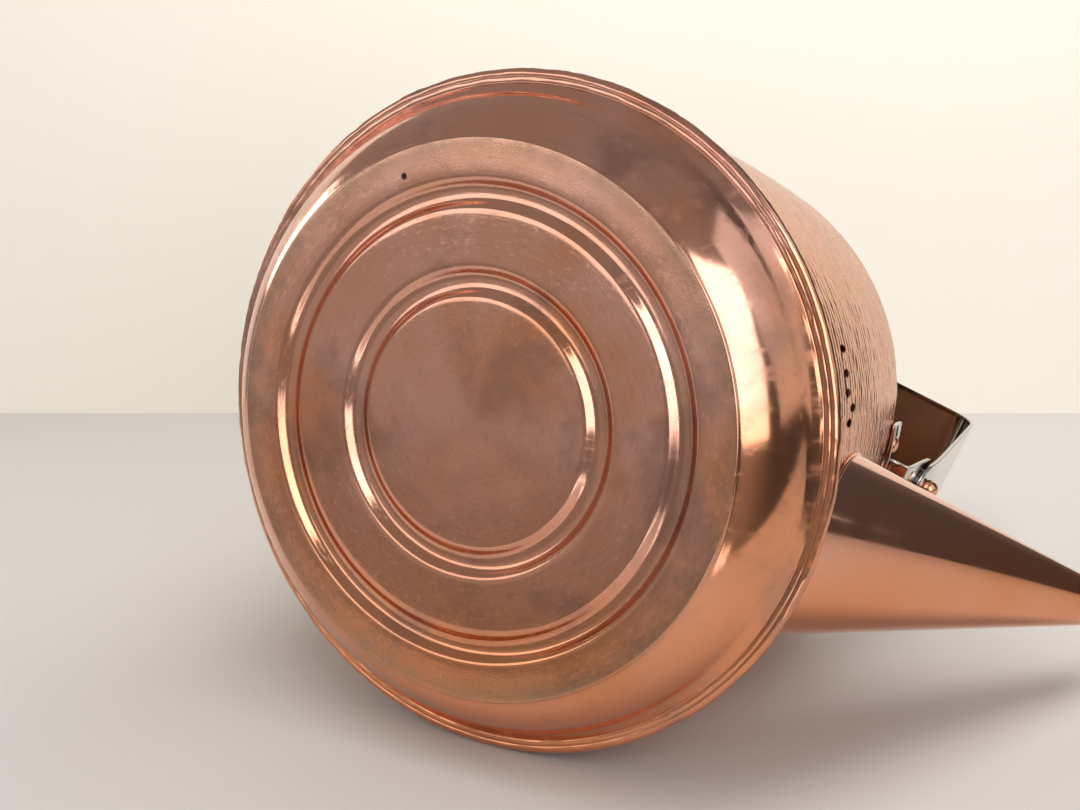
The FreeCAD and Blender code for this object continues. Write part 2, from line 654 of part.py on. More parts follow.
def bail_strap(rivets):
    """One steel strip: two arms, two bends and the crossbar, wider at the top."""
    strip, top, bend = "dims.strip", "dims.bail_top", "dims.bail_bend"
    outside = "(%s + dims.strip)" % ARM_FACE
    corner = "dims.bail_corner_radius"
    end = "(dims.pivot_height - dims.bail_end_half_width)"
    front_outer = [
        (outside, end),
        (outside, "dims.bail_flare_start"),
        (corner, "dims.bail_corner"),
        ("(%s - %s)" % (corner, bend), top),
    ]
    front_inner = [
        ("(%s - %s)" % (corner, bend), "%s - %s" % (top, strip)),
        ("(%s - %s)" % (corner, strip), "dims.bail_corner"),
        (ARM_FACE, "dims.bail_flare_start"),
        (ARM_FACE, end),
    ]
    mirrored_outer = [("-" + x, z) for x, z in reversed(front_outer)]
    mirrored_inner = [("-" + x, z) for x, z in reversed(front_inner)]
    corners = front_outer + mirrored_outer + mirrored_inner + front_inner
    inside = "dims.bail_bend - dims.strip"
    arcs = {2: (1, bend), 4: (1, bend), 10: (-1, inside), 12: (-1, inside)}
    strip_body = padded("bail_strip", "XZ_Plane", corners, "2 * dims.bail_half_width", arcs)
    half, tip = "dims.bail_half_width", "dims.bail_end_half_width"
    side = [
        ("-" + tip, "dims.pivot_height"),
        (tip, "dims.pivot_height"),
        (half, "dims.bail_corner"),
        (half, "dims.bail_top + dims.strip"),
        ("-" + half, "dims.bail_top + dims.strip"),
        ("-" + half, "dims.bail_corner"),
    ]
    side_arcs = {0: (1, tip + " + dims.arc_slack")}
    shape = padded("bail_side", "YZ_Plane", side, "2 * dims.seam_radius", side_arcs)
    hole = rod("bail_pin_holes", "dims.pin_radius + dims.running_gap", "2 * dims.seam_radius",
               ("-dims.seam_radius", "0", "dims.pivot_height"), Y_AXIS, "90")
    return cut("bail_strap", common("bail_blank", strip_body, shape), hole, rivets)


def grip_scale(name, flat, rise, upward, rivets):
    """A wooden scale: flat against the crossbar, arched along its other side."""
    half, end = "dims.grip_length / 2", "dims.grip_end_thickness"
    sign = "+" if upward else "-"
    shoulder = "%s %s %s" % (flat, sign, end)
    bow = "((%s)^2 + (%s - %s)^2) / (2 * (%s - %s))" % (half, rise, end, rise, end)
    corners = [("-" + half, flat), (half, flat), (half, shoulder), ("-" + half, shoulder)]
    if not upward:
        corners = [corners[1], corners[0], corners[3], corners[2]]
    scale = padded(name + "_blank", "XZ_Plane", corners, "2 * dims.grip_half_width", {2: (1, bow)})
    level = value(flat)
    rounded(scale, "dims.grip_round", lambda edge: abs(edge.CenterOfMass.z - level) > value("dims.lap")
            and edge.BoundBox.XLength > value(half))
    return cut(name, scale, rivets)


def grip_rivets(name):
    """Two brass rivets through both scales and the crossbar."""
    high = "dims.bail_top + dims.grip_rivet_top"
    low = "dims.bail_top - dims.strip - dims.grip_rivet_low"
    head, crown = "dims.grip_rivet_head", "dims.grip_rivet_crown"
    corners = [
        ("0", "%s - %s" % (low, crown)),
        (head, low),
        ("dims.grip_rivet_radius", low),
        ("dims.grip_rivet_radius", high),
        (head, high),
        ("0", "%s + %s" % (high, crown)),
    ]
    arcs = {0: (1, dome(head, crown)), 4: (1, dome(head, crown))}
    pair = []
    for side, reach in (("front", "dims.grip_rivet_reach"), ("rear", "-dims.grip_rivet_reach")):
        rivet = turned("%s_%s" % (name, side), corners, arcs)
        pair.append(set_place(rivet, (reach, "0", "0")))
    return group(name, *pair)


def rear(label, front):
    """The same piece on the other side of the kettle."""
    copy = doc.addObject("Part::Mirroring", label)
    copy.Source = front
    copy.Normal = X_AXIS
    return copy


def kettle_parts():
    """Every sub-part, by the name of its node."""
    parts = [base_pan(), mouth_ring(), spout(), spout_lip()]
    skin = wall_skin()
    holes = foot_rivet_holes("wall_rivet_hole")
    rear_holes = [rear("wall_rear_hole_%d" % i, hole) for i, hole in enumerate(holes)]
    bore = spout_cone("wall_spout_bore", "dims.sheet")
    parts.append(cut("body_shell", skin, bore, *(holes + rear_holes)))
    for make, label in ((ear, "ear"), (foot_rivets, "ear_rivets"), (washer, "washer"), (pin, "pivot_pin")):
        front = make("front_" + label)
        parts += [front, rear("rear_" + label, front)]
    parts += [lid_shell(), lid_skirt(), knob_plate(), lid_knob(), knob_screw()]
    rivets = grip_rivets("grip_rivets")
    under = "(dims.bail_top - dims.strip - dims.lap)"
    over = "(dims.bail_top + dims.lap)"
    parts += [
        bail_strap(rivets),
        grip_scale("grip_upper", over, "dims.grip_upper_rise", True, rivets),
        grip_scale("grip_lower", under, "dims.grip_lower_drop", False, rivets),
        rivets,
    ]
    return parts


def check_document(parts):
    """Stops at the first object that failed, or the first sub-part with a bad shape."""
    for thing in doc.Objects:
        if "Invalid" in thing.State or "Error" in thing.State:
            raise RuntimeError("%s failed: %s" % (thing.Name, thing.State))
    for thing in parts:
        if thing.Shape.isNull() or not thing.Shape.isValid() or not thing.Shape.Solids:
            raise RuntimeError("%s has no good shape" % thing.Label)


def check_cuts(parts):
    """The holes must have taken something away."""
    by_label = {thing.Label: thing for thing in parts}
    for label in ("body_shell", "front_ear", "bail_strap", "lid_shell", "grip_upper", "grip_lower"):
        whole = by_label[label].Base.Shape.Volume
        if by_label[label].Shape.Volume > whole - value("dims.lap"):
            raise RuntimeError("%s lost nothing to its holes" % label)


def main():
    parts = kettle_parts()
    doc.recompute()
    check_document(parts)
    check_cuts(parts)
    os.makedirs("parts", exist_ok=True)
    for thing in parts:
        thing.Shape.exportStep("parts/%s.step" % thing.Label)
        shape = thing.Shape
        box = shape.BoundBox
        print("%-18s %8.0f mm3  %d solids  x %.1f..%.1f  y %.1f..%.1f  z %.1f..%.1f" % (
            thing.Label, shape.Volume, len(shape.Solids),
            box.XMin, box.XMax, box.YMin, box.YMax, box.ZMin, box.ZMax))


main()
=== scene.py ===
import math

import bpy
import numpy as np
from mathutils import Matrix, Vector


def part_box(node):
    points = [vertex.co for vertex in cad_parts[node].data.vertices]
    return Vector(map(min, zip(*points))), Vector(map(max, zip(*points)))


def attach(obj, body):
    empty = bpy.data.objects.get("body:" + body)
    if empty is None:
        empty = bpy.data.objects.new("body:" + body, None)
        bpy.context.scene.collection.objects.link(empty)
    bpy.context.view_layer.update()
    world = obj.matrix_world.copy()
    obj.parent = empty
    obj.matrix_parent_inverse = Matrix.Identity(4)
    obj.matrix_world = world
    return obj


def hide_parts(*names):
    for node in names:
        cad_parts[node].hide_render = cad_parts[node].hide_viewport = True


# A hammered copper kettle on its side, its round base towards the camera. Shapes are given
# in millimetres and made in metres. The kettle's own axis is Z, and the spout points to +X.

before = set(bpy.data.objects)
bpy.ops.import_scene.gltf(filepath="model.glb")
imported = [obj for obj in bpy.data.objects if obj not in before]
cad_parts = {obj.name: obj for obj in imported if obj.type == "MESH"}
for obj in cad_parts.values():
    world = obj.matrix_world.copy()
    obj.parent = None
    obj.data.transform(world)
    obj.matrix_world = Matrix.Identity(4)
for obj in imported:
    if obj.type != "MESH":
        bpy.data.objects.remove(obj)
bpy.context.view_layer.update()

MM = 0.001
TURN = math.tau
SHEET = 1.2     # the copper's thickness
STRIP = 1.5     # the steel strip's thickness


def box_mm(node):
    """A node's lowest and highest corners, in millimetres."""
    low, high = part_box(node)
    return low / MM, high / MM


# Places that the frame gives.
SEAM_RADIUS = box_mm("base_pan")[1].x
NECK_TOP = box_mm("body_shell")[1].z
PIVOT_HEIGHT = (box_mm("front_washer")[0].z + box_mm("front_washer")[1].z) / 2
EAR_FACE = box_mm("front_ear")[1].x
LID_SEAT = box_mm("lid_shell")[0].z
LID_CROWN = box_mm("lid_shell")[1].z
PLATE_TOP = box_mm("knob_plate")[1].z
KNOB_TOP = box_mm("lid_knob")[1].z
BAIL_TOP = box_mm("bail_strap")[1].z
BAIL_HALF_WIDTH = box_mm("bail_strap")[1].y
GRIP_HALF = box_mm("grip_upper")[1].x
GRIP_TOP = box_mm("grip_upper")[1].z
GRIP_LOW = box_mm("grip_lower")[0].z

# The wall's outside: radius and height at both ends of its slope, and how it swells between.
WALL_LOW = (100.4, 24.2)
WALL_HIGH = (84.0, 158.0)
WALL_FOOT = 25.0
WALL_SWELL = 5.6

SPOUT_RISE = math.radians(49.5)


def wall_radius(height):
    """Outside of the sloping part of the wall at a height."""
    share = (height - WALL_FOOT) / (WALL_HIGH[1] - WALL_FOOT)
    slope = WALL_LOW[0] + (WALL_HIGH[0] - WALL_LOW[0]) * share
    return slope + WALL_SWELL * share * (1 - share)


# ---------------------------------------------------------------- making pieces

def piece(name, points, faces, finish, edges=()):
    """A mesh piece from points in millimetres."""
    mesh = bpy.data.meshes.new(name)
    mesh.from_pydata([Vector(p) * MM for p in points], list(edges), list(faces))
    mesh.materials.append(finish)
    mesh.polygons.foreach_set("use_smooth", [True] * len(mesh.polygons))
    obj = bpy.data.objects.new(name, mesh)
    bpy.context.scene.collection.objects.link(obj)
    return obj


def work(obj, kind, label, **settings):
    """Adds one modifier with its settings."""
    modifier = obj.modifiers.new(label, kind)
    for key, setting in settings.items():
        setattr(modifier, key, setting)
    return modifier


def smoothed(obj, levels=1):
    """Adds the last smoothing."""
    work(obj, "SUBSURF", "smooth", levels=levels, render_levels=levels)
    return obj


def settled(obj, place=None):
    """Applies the stack, then the place."""
    graph = bpy.context.evaluated_depsgraph_get()
    mesh = bpy.data.meshes.new_from_object(obj.evaluated_get(graph))
    mesh.name = obj.name
    obj.modifiers.clear()
    obj.data = mesh
    if place is not None:
        mesh.transform(place)
    return obj


def spun(name, profile, finish, steps=96, loop=False):
    """A turned piece: a profile at +X, from top to bottom on its outside. loop closes it."""
    points = [(r, 0, z) for r, z in profile]
    edges = [(i, i + 1) for i in range(len(points) - 1)]
    if loop:
        edges.append((len(points) - 1, 0))
    obj = piece(name, points, (), finish, edges)
    work(obj, "SCREW", "spin", steps=steps, render_steps=steps, use_merge_vertices=True,
         merge_threshold=0.01 * MM, use_smooth_shade=True)
    return smoothed(obj)


def joined(name, pieces):
    """Several settled meshes as one piece."""
    first = pieces[0]
    with bpy.context.temp_override(active_object=first, selected_editable_objects=pieces):
        bpy.ops.object.join()
    first.name = name
    first.data.name = name
    return first


def fitted(obj, body, slot, *nodes):
    """Rides on its body, and stands for the nodes it replaces."""
    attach(obj, body)
    if nodes:
        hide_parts(*nodes)
    return obj


def sheet_work(obj, edge):
    """Gives a bent strip its thickness and rounded edges, then smooths it."""
    work(obj, "SOLIDIFY", "strip", thickness=STRIP * MM, offset=0.0)
    work(obj, "BEVEL", "edges", width=edge * MM, segments=2, limit_method="ANGLE",
         angle_limit=math.radians(50))
    return smoothed(obj)


def arc(start, end, radius, count, side=1):
    """Points on a round section between two points, both ends left out. side is +1 where
    the centre lies to the left of the way from start to end."""
    start, end = np.array(start, float), np.array(end, float)
    chord = end - start
    length = np.linalg.norm(chord)
    normal = side * np.array([-chord[1], chord[0]]) / length
    centre = (start + end) / 2 + normal * math.sqrt(radius ** 2 - length ** 2 / 4)
    first = math.atan2(*(start - centre)[::-1])
    last = math.atan2(*(end - centre)[::-1])
    sweep = (last - first + math.pi) % TURN - math.pi
    angles = [first + sweep * (i + 1) / (count + 1) for i in range(count)]
    return [(centre[0] + radius * math.cos(a), centre[1] + radius * math.sin(a)) for a in angles]


def grid_faces(rows, columns, closed):
    """Quads of a grid whose rows are listed one after another. closed joins each row's ends."""
    faces = []
    for i in range(rows - 1):
        for j in range(columns if closed else columns - 1):
            k = (j + 1) % columns
            here, above = i * columns, (i + 1) * columns
            faces.append((here + j, here + k, above + k, above + j))
    return faces


def round_axis(rows):
    """Points about the kettle's axis, from rows of (radius, height) that go once round it."""
    points = []
    for row in rows:
        for j, (radius, height) in enumerate(row):
            angle = TURN * j / len(row)
            points.append((radius * math.cos(angle), radius * math.sin(angle), height))
    return points


# ---------------------------------------------------------------- finishes

# The way to the side that lies on the floor, where a warm glow reflected from the floor is
# painted into the copper.
FLOOR_GLOW_SIDE = (0.41, 0.91, 0)


class Finish:
    """A node material built step by step."""

    def __init__(self, name, colour, roughness, metallic=1.0):
        self.material = bpy.data.materials.new(name)
        self.material.use_nodes = True
        self.tree = self.material.node_tree
        self.shader = self.tree.nodes["Principled BSDF"]
        self.shader.inputs["Base Color"].default_value = (*colour, 1)
        self.shader.inputs["Roughness"].default_value = roughness
        self.shader.inputs["Metallic"].default_value = metallic
        self.place = self.node("ShaderNodeTexCoord").outputs["Object"]

    def node(self, kind, inputs=None, **settings):
        made = self.tree.nodes.new(kind)
        for key, setting in settings.items():
            setattr(made, key, setting)
        for key, value in (inputs or {}).items():
            if isinstance(value, bpy.types.NodeSocket):
                self.tree.links.new(value, made.inputs[key])
            else:
                made.inputs[key].default_value = value
        return made

    def stretched(self, scale, source=None):
        """Coordinates scaled by three numbers."""
        return self.vectors("MULTIPLY", source or self.place, scale).outputs[0]

    def vectors(self, operation, first, second=None):
        inputs = {0: first} if second is None else {0: first, 1: second}
        return self.node("ShaderNodeVectorMath", inputs, operation=operation)

    def noise(self, scale, detail=3.0, source=None, rough=0.5):
        inputs = {"Vector": source or self.place, "Scale": scale, "Detail": detail,
                  "Roughness": rough}
        return self.node("ShaderNodeTexNoise", inputs).outputs["Fac"]

    def cells(self, source):
        """How far each place is from the middle of its own small cell."""
        inputs = {"Vector": source, "Scale": 1.0, "Randomness": 0.45}
        return self.node("ShaderNodeTexVoronoi", inputs).outputs["Distance"]

    def near(self, spot, inner, outer, source=None):
        """One within a distance of a spot, fading to nothing further out."""
        away = self.vectors("DISTANCE", source or self.place, spot)
        return self.ranged(away.outputs["Value"], inner, outer, 1.0, 0.0)

    def ranged(self, source, low, high, to_low=0.0, to_high=1.0):
        """Turns one range of numbers smoothly into another."""
        inputs = {"Value": source, 1: low, 2: high, 3: to_low, 4: to_high}
        return self.node("ShaderNodeMapRange", inputs, interpolation_type="SMOOTHSTEP").outputs[0]

    def maths(self, operation, first, second):
        return self.node("ShaderNodeMath", {0: first, 1: second}, operation=operation).outputs[0]

    def mixed(self, factor, first, second):
        """A colour between two, given as colours or sockets."""
        made = self.node("ShaderNodeMix", data_type="RGBA")
        for index, value in ((0, factor), (6, first), (7, second)):
            if isinstance(value, bpy.types.NodeSocket):
                self.tree.links.new(value, made.inputs[index])
            elif index == 0:
                made.inputs[index].default_value = value
            else:
                made.inputs[index].default_value = (*value, 1)
        return made.outputs[2]

    def floor_glow(self, start, end):
        """How far round to the side that lies on the floor, where the copper is painted orange as
        a warm reflection of the floor.
        """
        toward = self.vectors("DOT_PRODUCT", self.place, FLOOR_GLOW_SIDE)
        patchy = self.ranged(self.noise(18, 3), 0.3, 0.6, 0.7, 1.0)
        return self.maths("MULTIPLY", self.ranged(toward.outputs["Value"], start, end), patchy)

    def radius(self):
        """Distance from the kettle's axis."""
        return self.vectors("LENGTH", self.stretched((1, 1, 0))).outputs["Value"]

    def height(self):
        return self.node("ShaderNodeSeparateXYZ", {0: self.place}).outputs["Z"]

    def around_axis(self, around):
        """Coordinates that change only with the bearing round the axis."""
        unit = self.vectors("NORMALIZE", self.stretched((1, 1, 0))).outputs[0]
        return self.stretched((around, around, 0), unit)

    def turning(self, across, around):
        """Coordinates that run in rings about the axis: fine across them, slow around."""
        depth = self.maths("SUBTRACT", self.radius(), self.height())
        lift = self.node("ShaderNodeCombineXYZ", {2: self.maths("MULTIPLY", depth, across)})
        return self.vectors("ADD", self.around_axis(around), lift.outputs[0]).outputs[0]

    def turning_flat(self, up, around):
        """Coordinates that run round the axis and up it."""
        rise = self.stretched((0, 0, up))
        return self.vectors("ADD", self.around_axis(around), rise).outputs[0]

    def colour(self, socket):
        self.tree.links.new(socket, self.shader.inputs["Base Color"])

    def gloss(self, socket):
        self.tree.links.new(socket, self.shader.inputs["Roughness"])

    def bump(self, socket, distance, below=None):
        """Raises the surface by a pattern, over another bump where one is given."""
        inputs = {"Height": socket, "Distance": distance, "Strength": 1.0}
        if below is not None:
            inputs["Normal"] = below
        bumped = self.node("ShaderNodeBump", inputs).outputs[0]
        self.tree.links.new(bumped, self.shader.inputs["Normal"])
        return bumped


COPPER = (0.83, 0.425, 0.295)
COPPER_WARM = (0.78, 0.32, 0.15)
COPPER_PINK = (0.86, 0.48, 0.38)
COPPER_WORN = (0.46, 0.29, 0.19)
COPPER_DARK = (0.46, 0.25, 0.19)
COPPER_EDGE = (0.86, 0.73, 0.64)
STEEL_BRIGHT = (0.60, 0.58, 0.55)
STEEL_DARK_REFLECTION = (0.17, 0.14, 0.11)
STEEL_GLOSS = 0.09

# The foot ring in metres from the axis: where its wear fades in, fades out and is rubbed.
FOOT_INNER = (0.071, 0.0775)
FOOT_OUTER = (0.0828, 0.0842)
FOOT_RUBBED = (0.0765, 0.0825)

# One dark pit in the base: its place, the radii between which it fades, and its colour.
PIT = (-0.0506, -0.0567, 0.0)
PIT_FADE = (0.0007, 0.0013)
PIT_COLOUR = (0.05, 0.04, 0.045)

# Dark spots painted beside the seam as the seam's reflection in the dishes: bearings in degrees,
# and heights. Each spot is longer up the wall than round it.
SEAM_REFLECTION_SPOTS = ((-37.5, 55.0), (-33.2, 54.5), (-29.8, 54.0), (-26.9, 60.0), (-24.5, 54.5))
SEAM_SPOT_SQUASH = 0.35
SEAM_SPOT_FADE = (0.0010, 0.0016)
SEAM_REFLECTION_COLOUR = (0.05, 0.02, 0.01)
SEAM_REFLECTION_EDGE = (0.16, 0.05, 0.03)


def base_copper():
    """Polished spun copper: turning scratches, handling stains, a worn foot ring, and a painted
    warm reflection of the floor on the side that lies on it.
    """
    f = Finish("copper_base", COPPER, 0.14)
    stains = f.noise(24, 4)
    tint = f.mixed(f.ranged(stains, 0.35, 0.68), COPPER, COPPER_PINK)
    warm = f.ranged(f.noise(16, 3), 0.5, 0.66)
    tint = f.mixed(f.maths("MULTIPLY", warm, 0.8), tint, COPPER_WARM)
    # Painted warm reflection of the floor, on the side that lies on it.
    tint = f.mixed(f.floor_glow(-0.01, 0.09), tint, COPPER_WARM)
    tarnish = f.ranged(f.noise(22, 5, rough=0.6), 0.5, 0.66)
    tint = f.mixed(f.maths("MULTIPLY", tarnish, 0.7), tint, COPPER_DARK)
    hairlines = f.ranged(f.noise(1, 3, f.turning(1500, 7)), 0.52, 0.68)
    tint = f.mixed(f.maths("MULTIPLY", hairlines, 0.22), tint, COPPER_DARK)
    reach = f.radius()
    outside = f.ranged(reach, *FOOT_OUTER, 1, 0)
    foot = f.maths("MULTIPLY", f.ranged(reach, *FOOT_INNER), outside)
    edge = f.maths("MULTIPLY", f.ranged(reach, *FOOT_RUBBED), outside)
    wear = f.ranged(f.noise(70, 6, rough=0.7), 0.3, 0.72, 0.35, 1.0)
    rubs = f.ranged(f.noise(90, 6, rough=0.7), 0.3, 0.65, 0.3, 1.0)
    rubbed = f.maths("MULTIPLY", edge, rubs)
    tint = f.mixed(f.maths("MULTIPLY", rubbed, 0.75), tint, COPPER_WORN)
    f.colour(f.mixed(f.near(PIT, *PIT_FADE), tint, PIT_COLOUR))
    uneven = f.bump(f.noise(24, 2), 0.0009)
    rings = f.noise(1, 2, f.turning(4200, 5))
    scuffs = f.noise(1, 3, f.turning(900, 26))
    rough = f.ranged(stains, 0.3, 0.7, 0.08, 0.17)
    worn = f.maths("MULTIPLY", foot, wear)
    rough = f.maths("ADD", rough, f.maths("MULTIPLY", worn, 0.26))
    rough = f.maths("ADD", rough, f.ranged(scuffs, 0.5, 0.72, 0, 0.14))
    f.gloss(rough)
    ringed = f.bump(rings, 0.000012, below=uneven)
    grain = f.maths("MULTIPLY", f.noise(1600, 3), foot)
    f.bump(grain, 0.00003, below=ringed)
    return f.material


def wall_copper():
    """Hammered copper: the dishes are in the shape, with a fine planished grain over them. A warm
    reflection of the floor is painted on the side that lies on it, and dark reflections of the
    seam beside the seam.
    """
    f = Finish("copper_hammered", COPPER, 0.12)
    patches = f.noise(30, 4)
    tint = f.mixed(f.ranged(patches, 0.35, 0.7), COPPER, COPPER_PINK)
    # Painted warm reflection of the floor, on the side that lies on it.
    tint = f.mixed(f.floor_glow(0.0, 0.09), tint, COPPER_WARM)
    f.gloss(f.ranged(f.noise(400, 4), 0.3, 0.7, 0.08, 0.17))
    marks = f.cells(f.turning_flat(300, 17))
    dished = f.bump(f.maths("POWER", marks, 2.0), 0.0003)
    squashed, edge = f.stretched((1, 1, SEAM_SPOT_SQUASH)), COPPER_EDGE
    # Painted dark reflections of the seam, with a darker edge tint under them.
    for bearing, height in SEAM_REFLECTION_SPOTS:
        angle, reach = math.radians(bearing), wall_radius(height) * MM
        spot = (reach * math.cos(angle), reach * math.sin(angle), SEAM_SPOT_SQUASH * height * MM)
        seam_reflection = f.near(spot, *SEAM_SPOT_FADE, squashed)
        tint = f.mixed(seam_reflection, tint, SEAM_REFLECTION_COLOUR)
        edge = f.mixed(seam_reflection, edge, SEAM_REFLECTION_EDGE)
    f.colour(tint)
    f.tree.links.new(edge, f.shader.inputs["Specular Tint"])
    f.bump(f.noise(900, 3), 0.000012, below=dished)
    return f.material


def spout_copper():
    """Smooth copper with long draw marks along the spout, and a painted warm reflection of the
    floor on the side that lies on it.
    """
    f = Finish("copper_smooth", COPPER, 0.12)
    tint = f.mixed(f.ranged(f.noise(20, 3), 0.4, 0.7), COPPER, COPPER_PINK)
    # Painted warm reflection of the floor, on the side that lies on it.
    f.colour(f.mixed(f.floor_glow(0.02, 0.055), tint, COPPER_WARM))
    f.gloss(f.ranged(f.noise(60, 5), 0.3, 0.7, 0.05, 0.13))
    turned = f.node("ShaderNodeMapping",
                    {"Vector": f.place, "Rotation": (0, SPOUT_RISE, 0)})
    streaks = f.noise(1, 2, f.stretched((60, 2200, 2200), turned.outputs[0]))
    f.bump(streaks, 0.000003)
    return f.material


def plain_metal(name, colour, roughness, grain):
    """A small part's metal: its gloss is broken up by handling."""
    f = Finish(name, colour, roughness)
    f.gloss(f.ranged(f.noise(240, 4), 0.3, 0.7, roughness * 0.7, roughness * 1.6))
    f.bump(f.noise(1400, 3), grain)
    return f.material


def bail_steel():
    """Polished steel, with a dark reflection painted brown along the middle of the bail."""
    f = Finish("bail_steel", STEEL_BRIGHT, STEEL_GLOSS)
    # Painted dark reflection: the top band of the bail is coloured dark brown.
    painted_reflection = f.ranged(f.height(), (BAIL_TOP - 14) * MM, (BAIL_TOP - 4) * MM)
    f.colour(f.mixed(painted_reflection, STEEL_BRIGHT, STEEL_DARK_REFLECTION))
    f.gloss(f.ranged(f.noise(240, 4), 0.3, 0.7, 0.06, 0.14))
    f.bump(f.noise(1400, 3), 0.000003)
    return f.material


def tinned():
    """The tinned inside of the kettle."""
    f = Finish("tin_lining", (0.62, 0.61, 0.58), 0.32)
    dulled = f.ranged(f.noise(45, 5), 0.35, 0.7)
    f.colour(f.mixed(dulled, (0.60, 0.59, 0.56), (0.45, 0.43, 0.40)))
    f.gloss(f.ranged(f.noise(110, 5), 0.3, 0.7, 0.24, 0.45))
    f.bump(f.noise(500, 3), 0.00002)
    return f.material


def grip_wood():
    """Dark oiled hardwood with its grain along X."""
    f = Finish("dark_hardwood", (0.16, 0.07, 0.035), 0.42, 0.0)
    grain = f.noise(1, 5, f.stretched((14, 260, 260)), rough=0.6)
    pores = f.noise(1, 2, f.stretched((120, 2600, 2600)))
    tone = f.mixed(f.ranged(grain, 0.3, 0.7), (0.20, 0.085, 0.040), (0.085, 0.035, 0.018))
    f.colour(f.mixed(f.ranged(pores, 0.56, 0.68), tone, (0.03, 0.014, 0.008)))
    f.gloss(f.ranged(pores, 0.4, 0.7, 0.34, 0.58))
    f.bump(pores, 0.00005)
    return f.material


COPPER_BASE = base_copper()
COPPER_WALL = wall_copper()
COPPER_SPOUT = spout_copper()
COPPER_PIN = plain_metal("copper_pin", (0.85, 0.40, 0.24), 0.14, 0.000005)
STEEL = plain_metal("polished_steel", STEEL_BRIGHT, STEEL_GLOSS, 0.000003)
STEEL_BAIL = bail_steel()
BRASS = plain_metal("brass", (0.80, 0.60, 0.28), 0.16, 0.000005)
TIN = tinned()
WOOD = grip_wood()


# ---------------------------------------------------------------- base pan

FOOT_EDGE = (83.6, 0.7)
SKIRT_TOP = (97.5, 17.2)
SKIRT_INSIDE_FOOT = (82.4, 1.9)
SKIRT_INSIDE_TOP = (96.5, 18.3)
SKIRT_BOW = 32.0
SEAM_TOP = 24.5
# Levels of the flats inside the foot ring, which step up towards the middle.
RING_LEVEL = 0.4
DISC_LEVEL = 0.7
FLARE_POINTS = 3    # the fold's last points, below the seam, which stay smooth


def groove(outer, inner, outer_level, inner_level, depth):
    """A pressed groove, from its outer edge to its inner edge, with soft corners."""
    floor = outer_level + depth
    return [
        (outer + 1.1, outer_level),
        (outer + 0.3, outer_level + 0.1),
        (outer - 0.8, outer_level + 0.35 * depth),
        (outer - 1.9, floor - 0.12 * depth),
        (outer - 3.2, floor),
        (inner + 3.2, floor),
        (inner + 1.9, floor - 0.12 * depth),
        (inner + 0.8, inner_level + 0.35 * depth),
        (inner - 0.3, inner_level + 0.1),
        (inner - 1.1, inner_level),
    ]


def pan_profile():
    """From the inside centre, up the inside, over the folded seam and down the outside."""
    inside = [
        (0, 1.9), (20, 1.9), (37, 1.9), (39.6, 4.5), (44, 4.5), (46.4, 1.6), (62.9, 1.6),
        (65.4, 4.2), (69.7, 4.2), (72.1, 1.2), (80.6, 1.2), SKIRT_INSIDE_FOOT,
    ]
    inside += arc(SKIRT_INSIDE_FOOT, SKIRT_INSIDE_TOP, SKIRT_BOW - SHEET, 6)
    inside += [SKIRT_INSIDE_TOP, (98.3, 21.2), (100.0, 23.2), (100.6, SEAM_TOP)]
    fold = [
        (102.2, SEAM_TOP), (103.7, SEAM_TOP - 0.15), (SEAM_RADIUS - 0.25, SEAM_TOP - 0.9),
        (SEAM_RADIUS + 0.1, SEAM_TOP - 1.8), (SEAM_RADIUS - 0.1, SEAM_TOP - 2.8),
        (104.4, 20.95), (103.6, 20.6), (102.9, 20.55), (102.6, 20.9), (102.3, 20.55),
        (101.6, 20.45), (101.0, 20.45), (100.7, 20.75), (100.35, 20.25),
        (99.9, 19.85), (99.2, 19.1), (98.4, 18.2),
    ]
    skirt = [SKIRT_TOP] + arc(SKIRT_TOP, FOOT_EDGE, SKIRT_BOW, 9, side=-1)
    foot = [(84.3, 1.25), (83.75, 0.75), (83.6, 0.25), (83.2, 0.02), (82.5, 0)]
    outer_groove = groove(71.7, 63.4, 0, RING_LEVEL, 2.8)
    inner_groove = groove(46.0, 37.6, RING_LEVEL, DISC_LEVEL, 2.7)
    disc = [(30, DISC_LEVEL), (15, DISC_LEVEL), (0, DISC_LEVEL)]
    flats = [(76, 0)] + outer_groove + [(55, RING_LEVEL)] + inner_groove + disc
    return inside, fold, skirt + foot + flats


def make_base_pan():
    inside, fold, outside = pan_profile()
    pan = spun("base_pan_spun", inside + fold + outside, COPPER_BASE, steps=180)
    rim = pan.vertex_groups.new(name="rim")
    first, last = len(inside), len(inside) + len(fold)
    rim.add(list(range(first, last - FLARE_POINTS)), 1.0, "REPLACE")
    rim.add([first - 1, last - FLARE_POINTS - 1], 0.4, "REPLACE")
    for label, name, size, strength in (("wavy rim", "rim_wave", 0.011, 0.0006),
                                        ("tool marks", "rim_nicks", 0.0024, 0.0004)):
        pattern = bpy.data.textures.new(name, "CLOUDS")
        pattern.noise_scale = size
        work(pan, "DISPLACE", label, texture=pattern, texture_coords="LOCAL",
             vertex_group="rim", strength=strength, mid_level=0.5)
    fitted(pan, "kettle", "spun_copper", "base_pan")


# ---------------------------------------------------------------- hammered wall

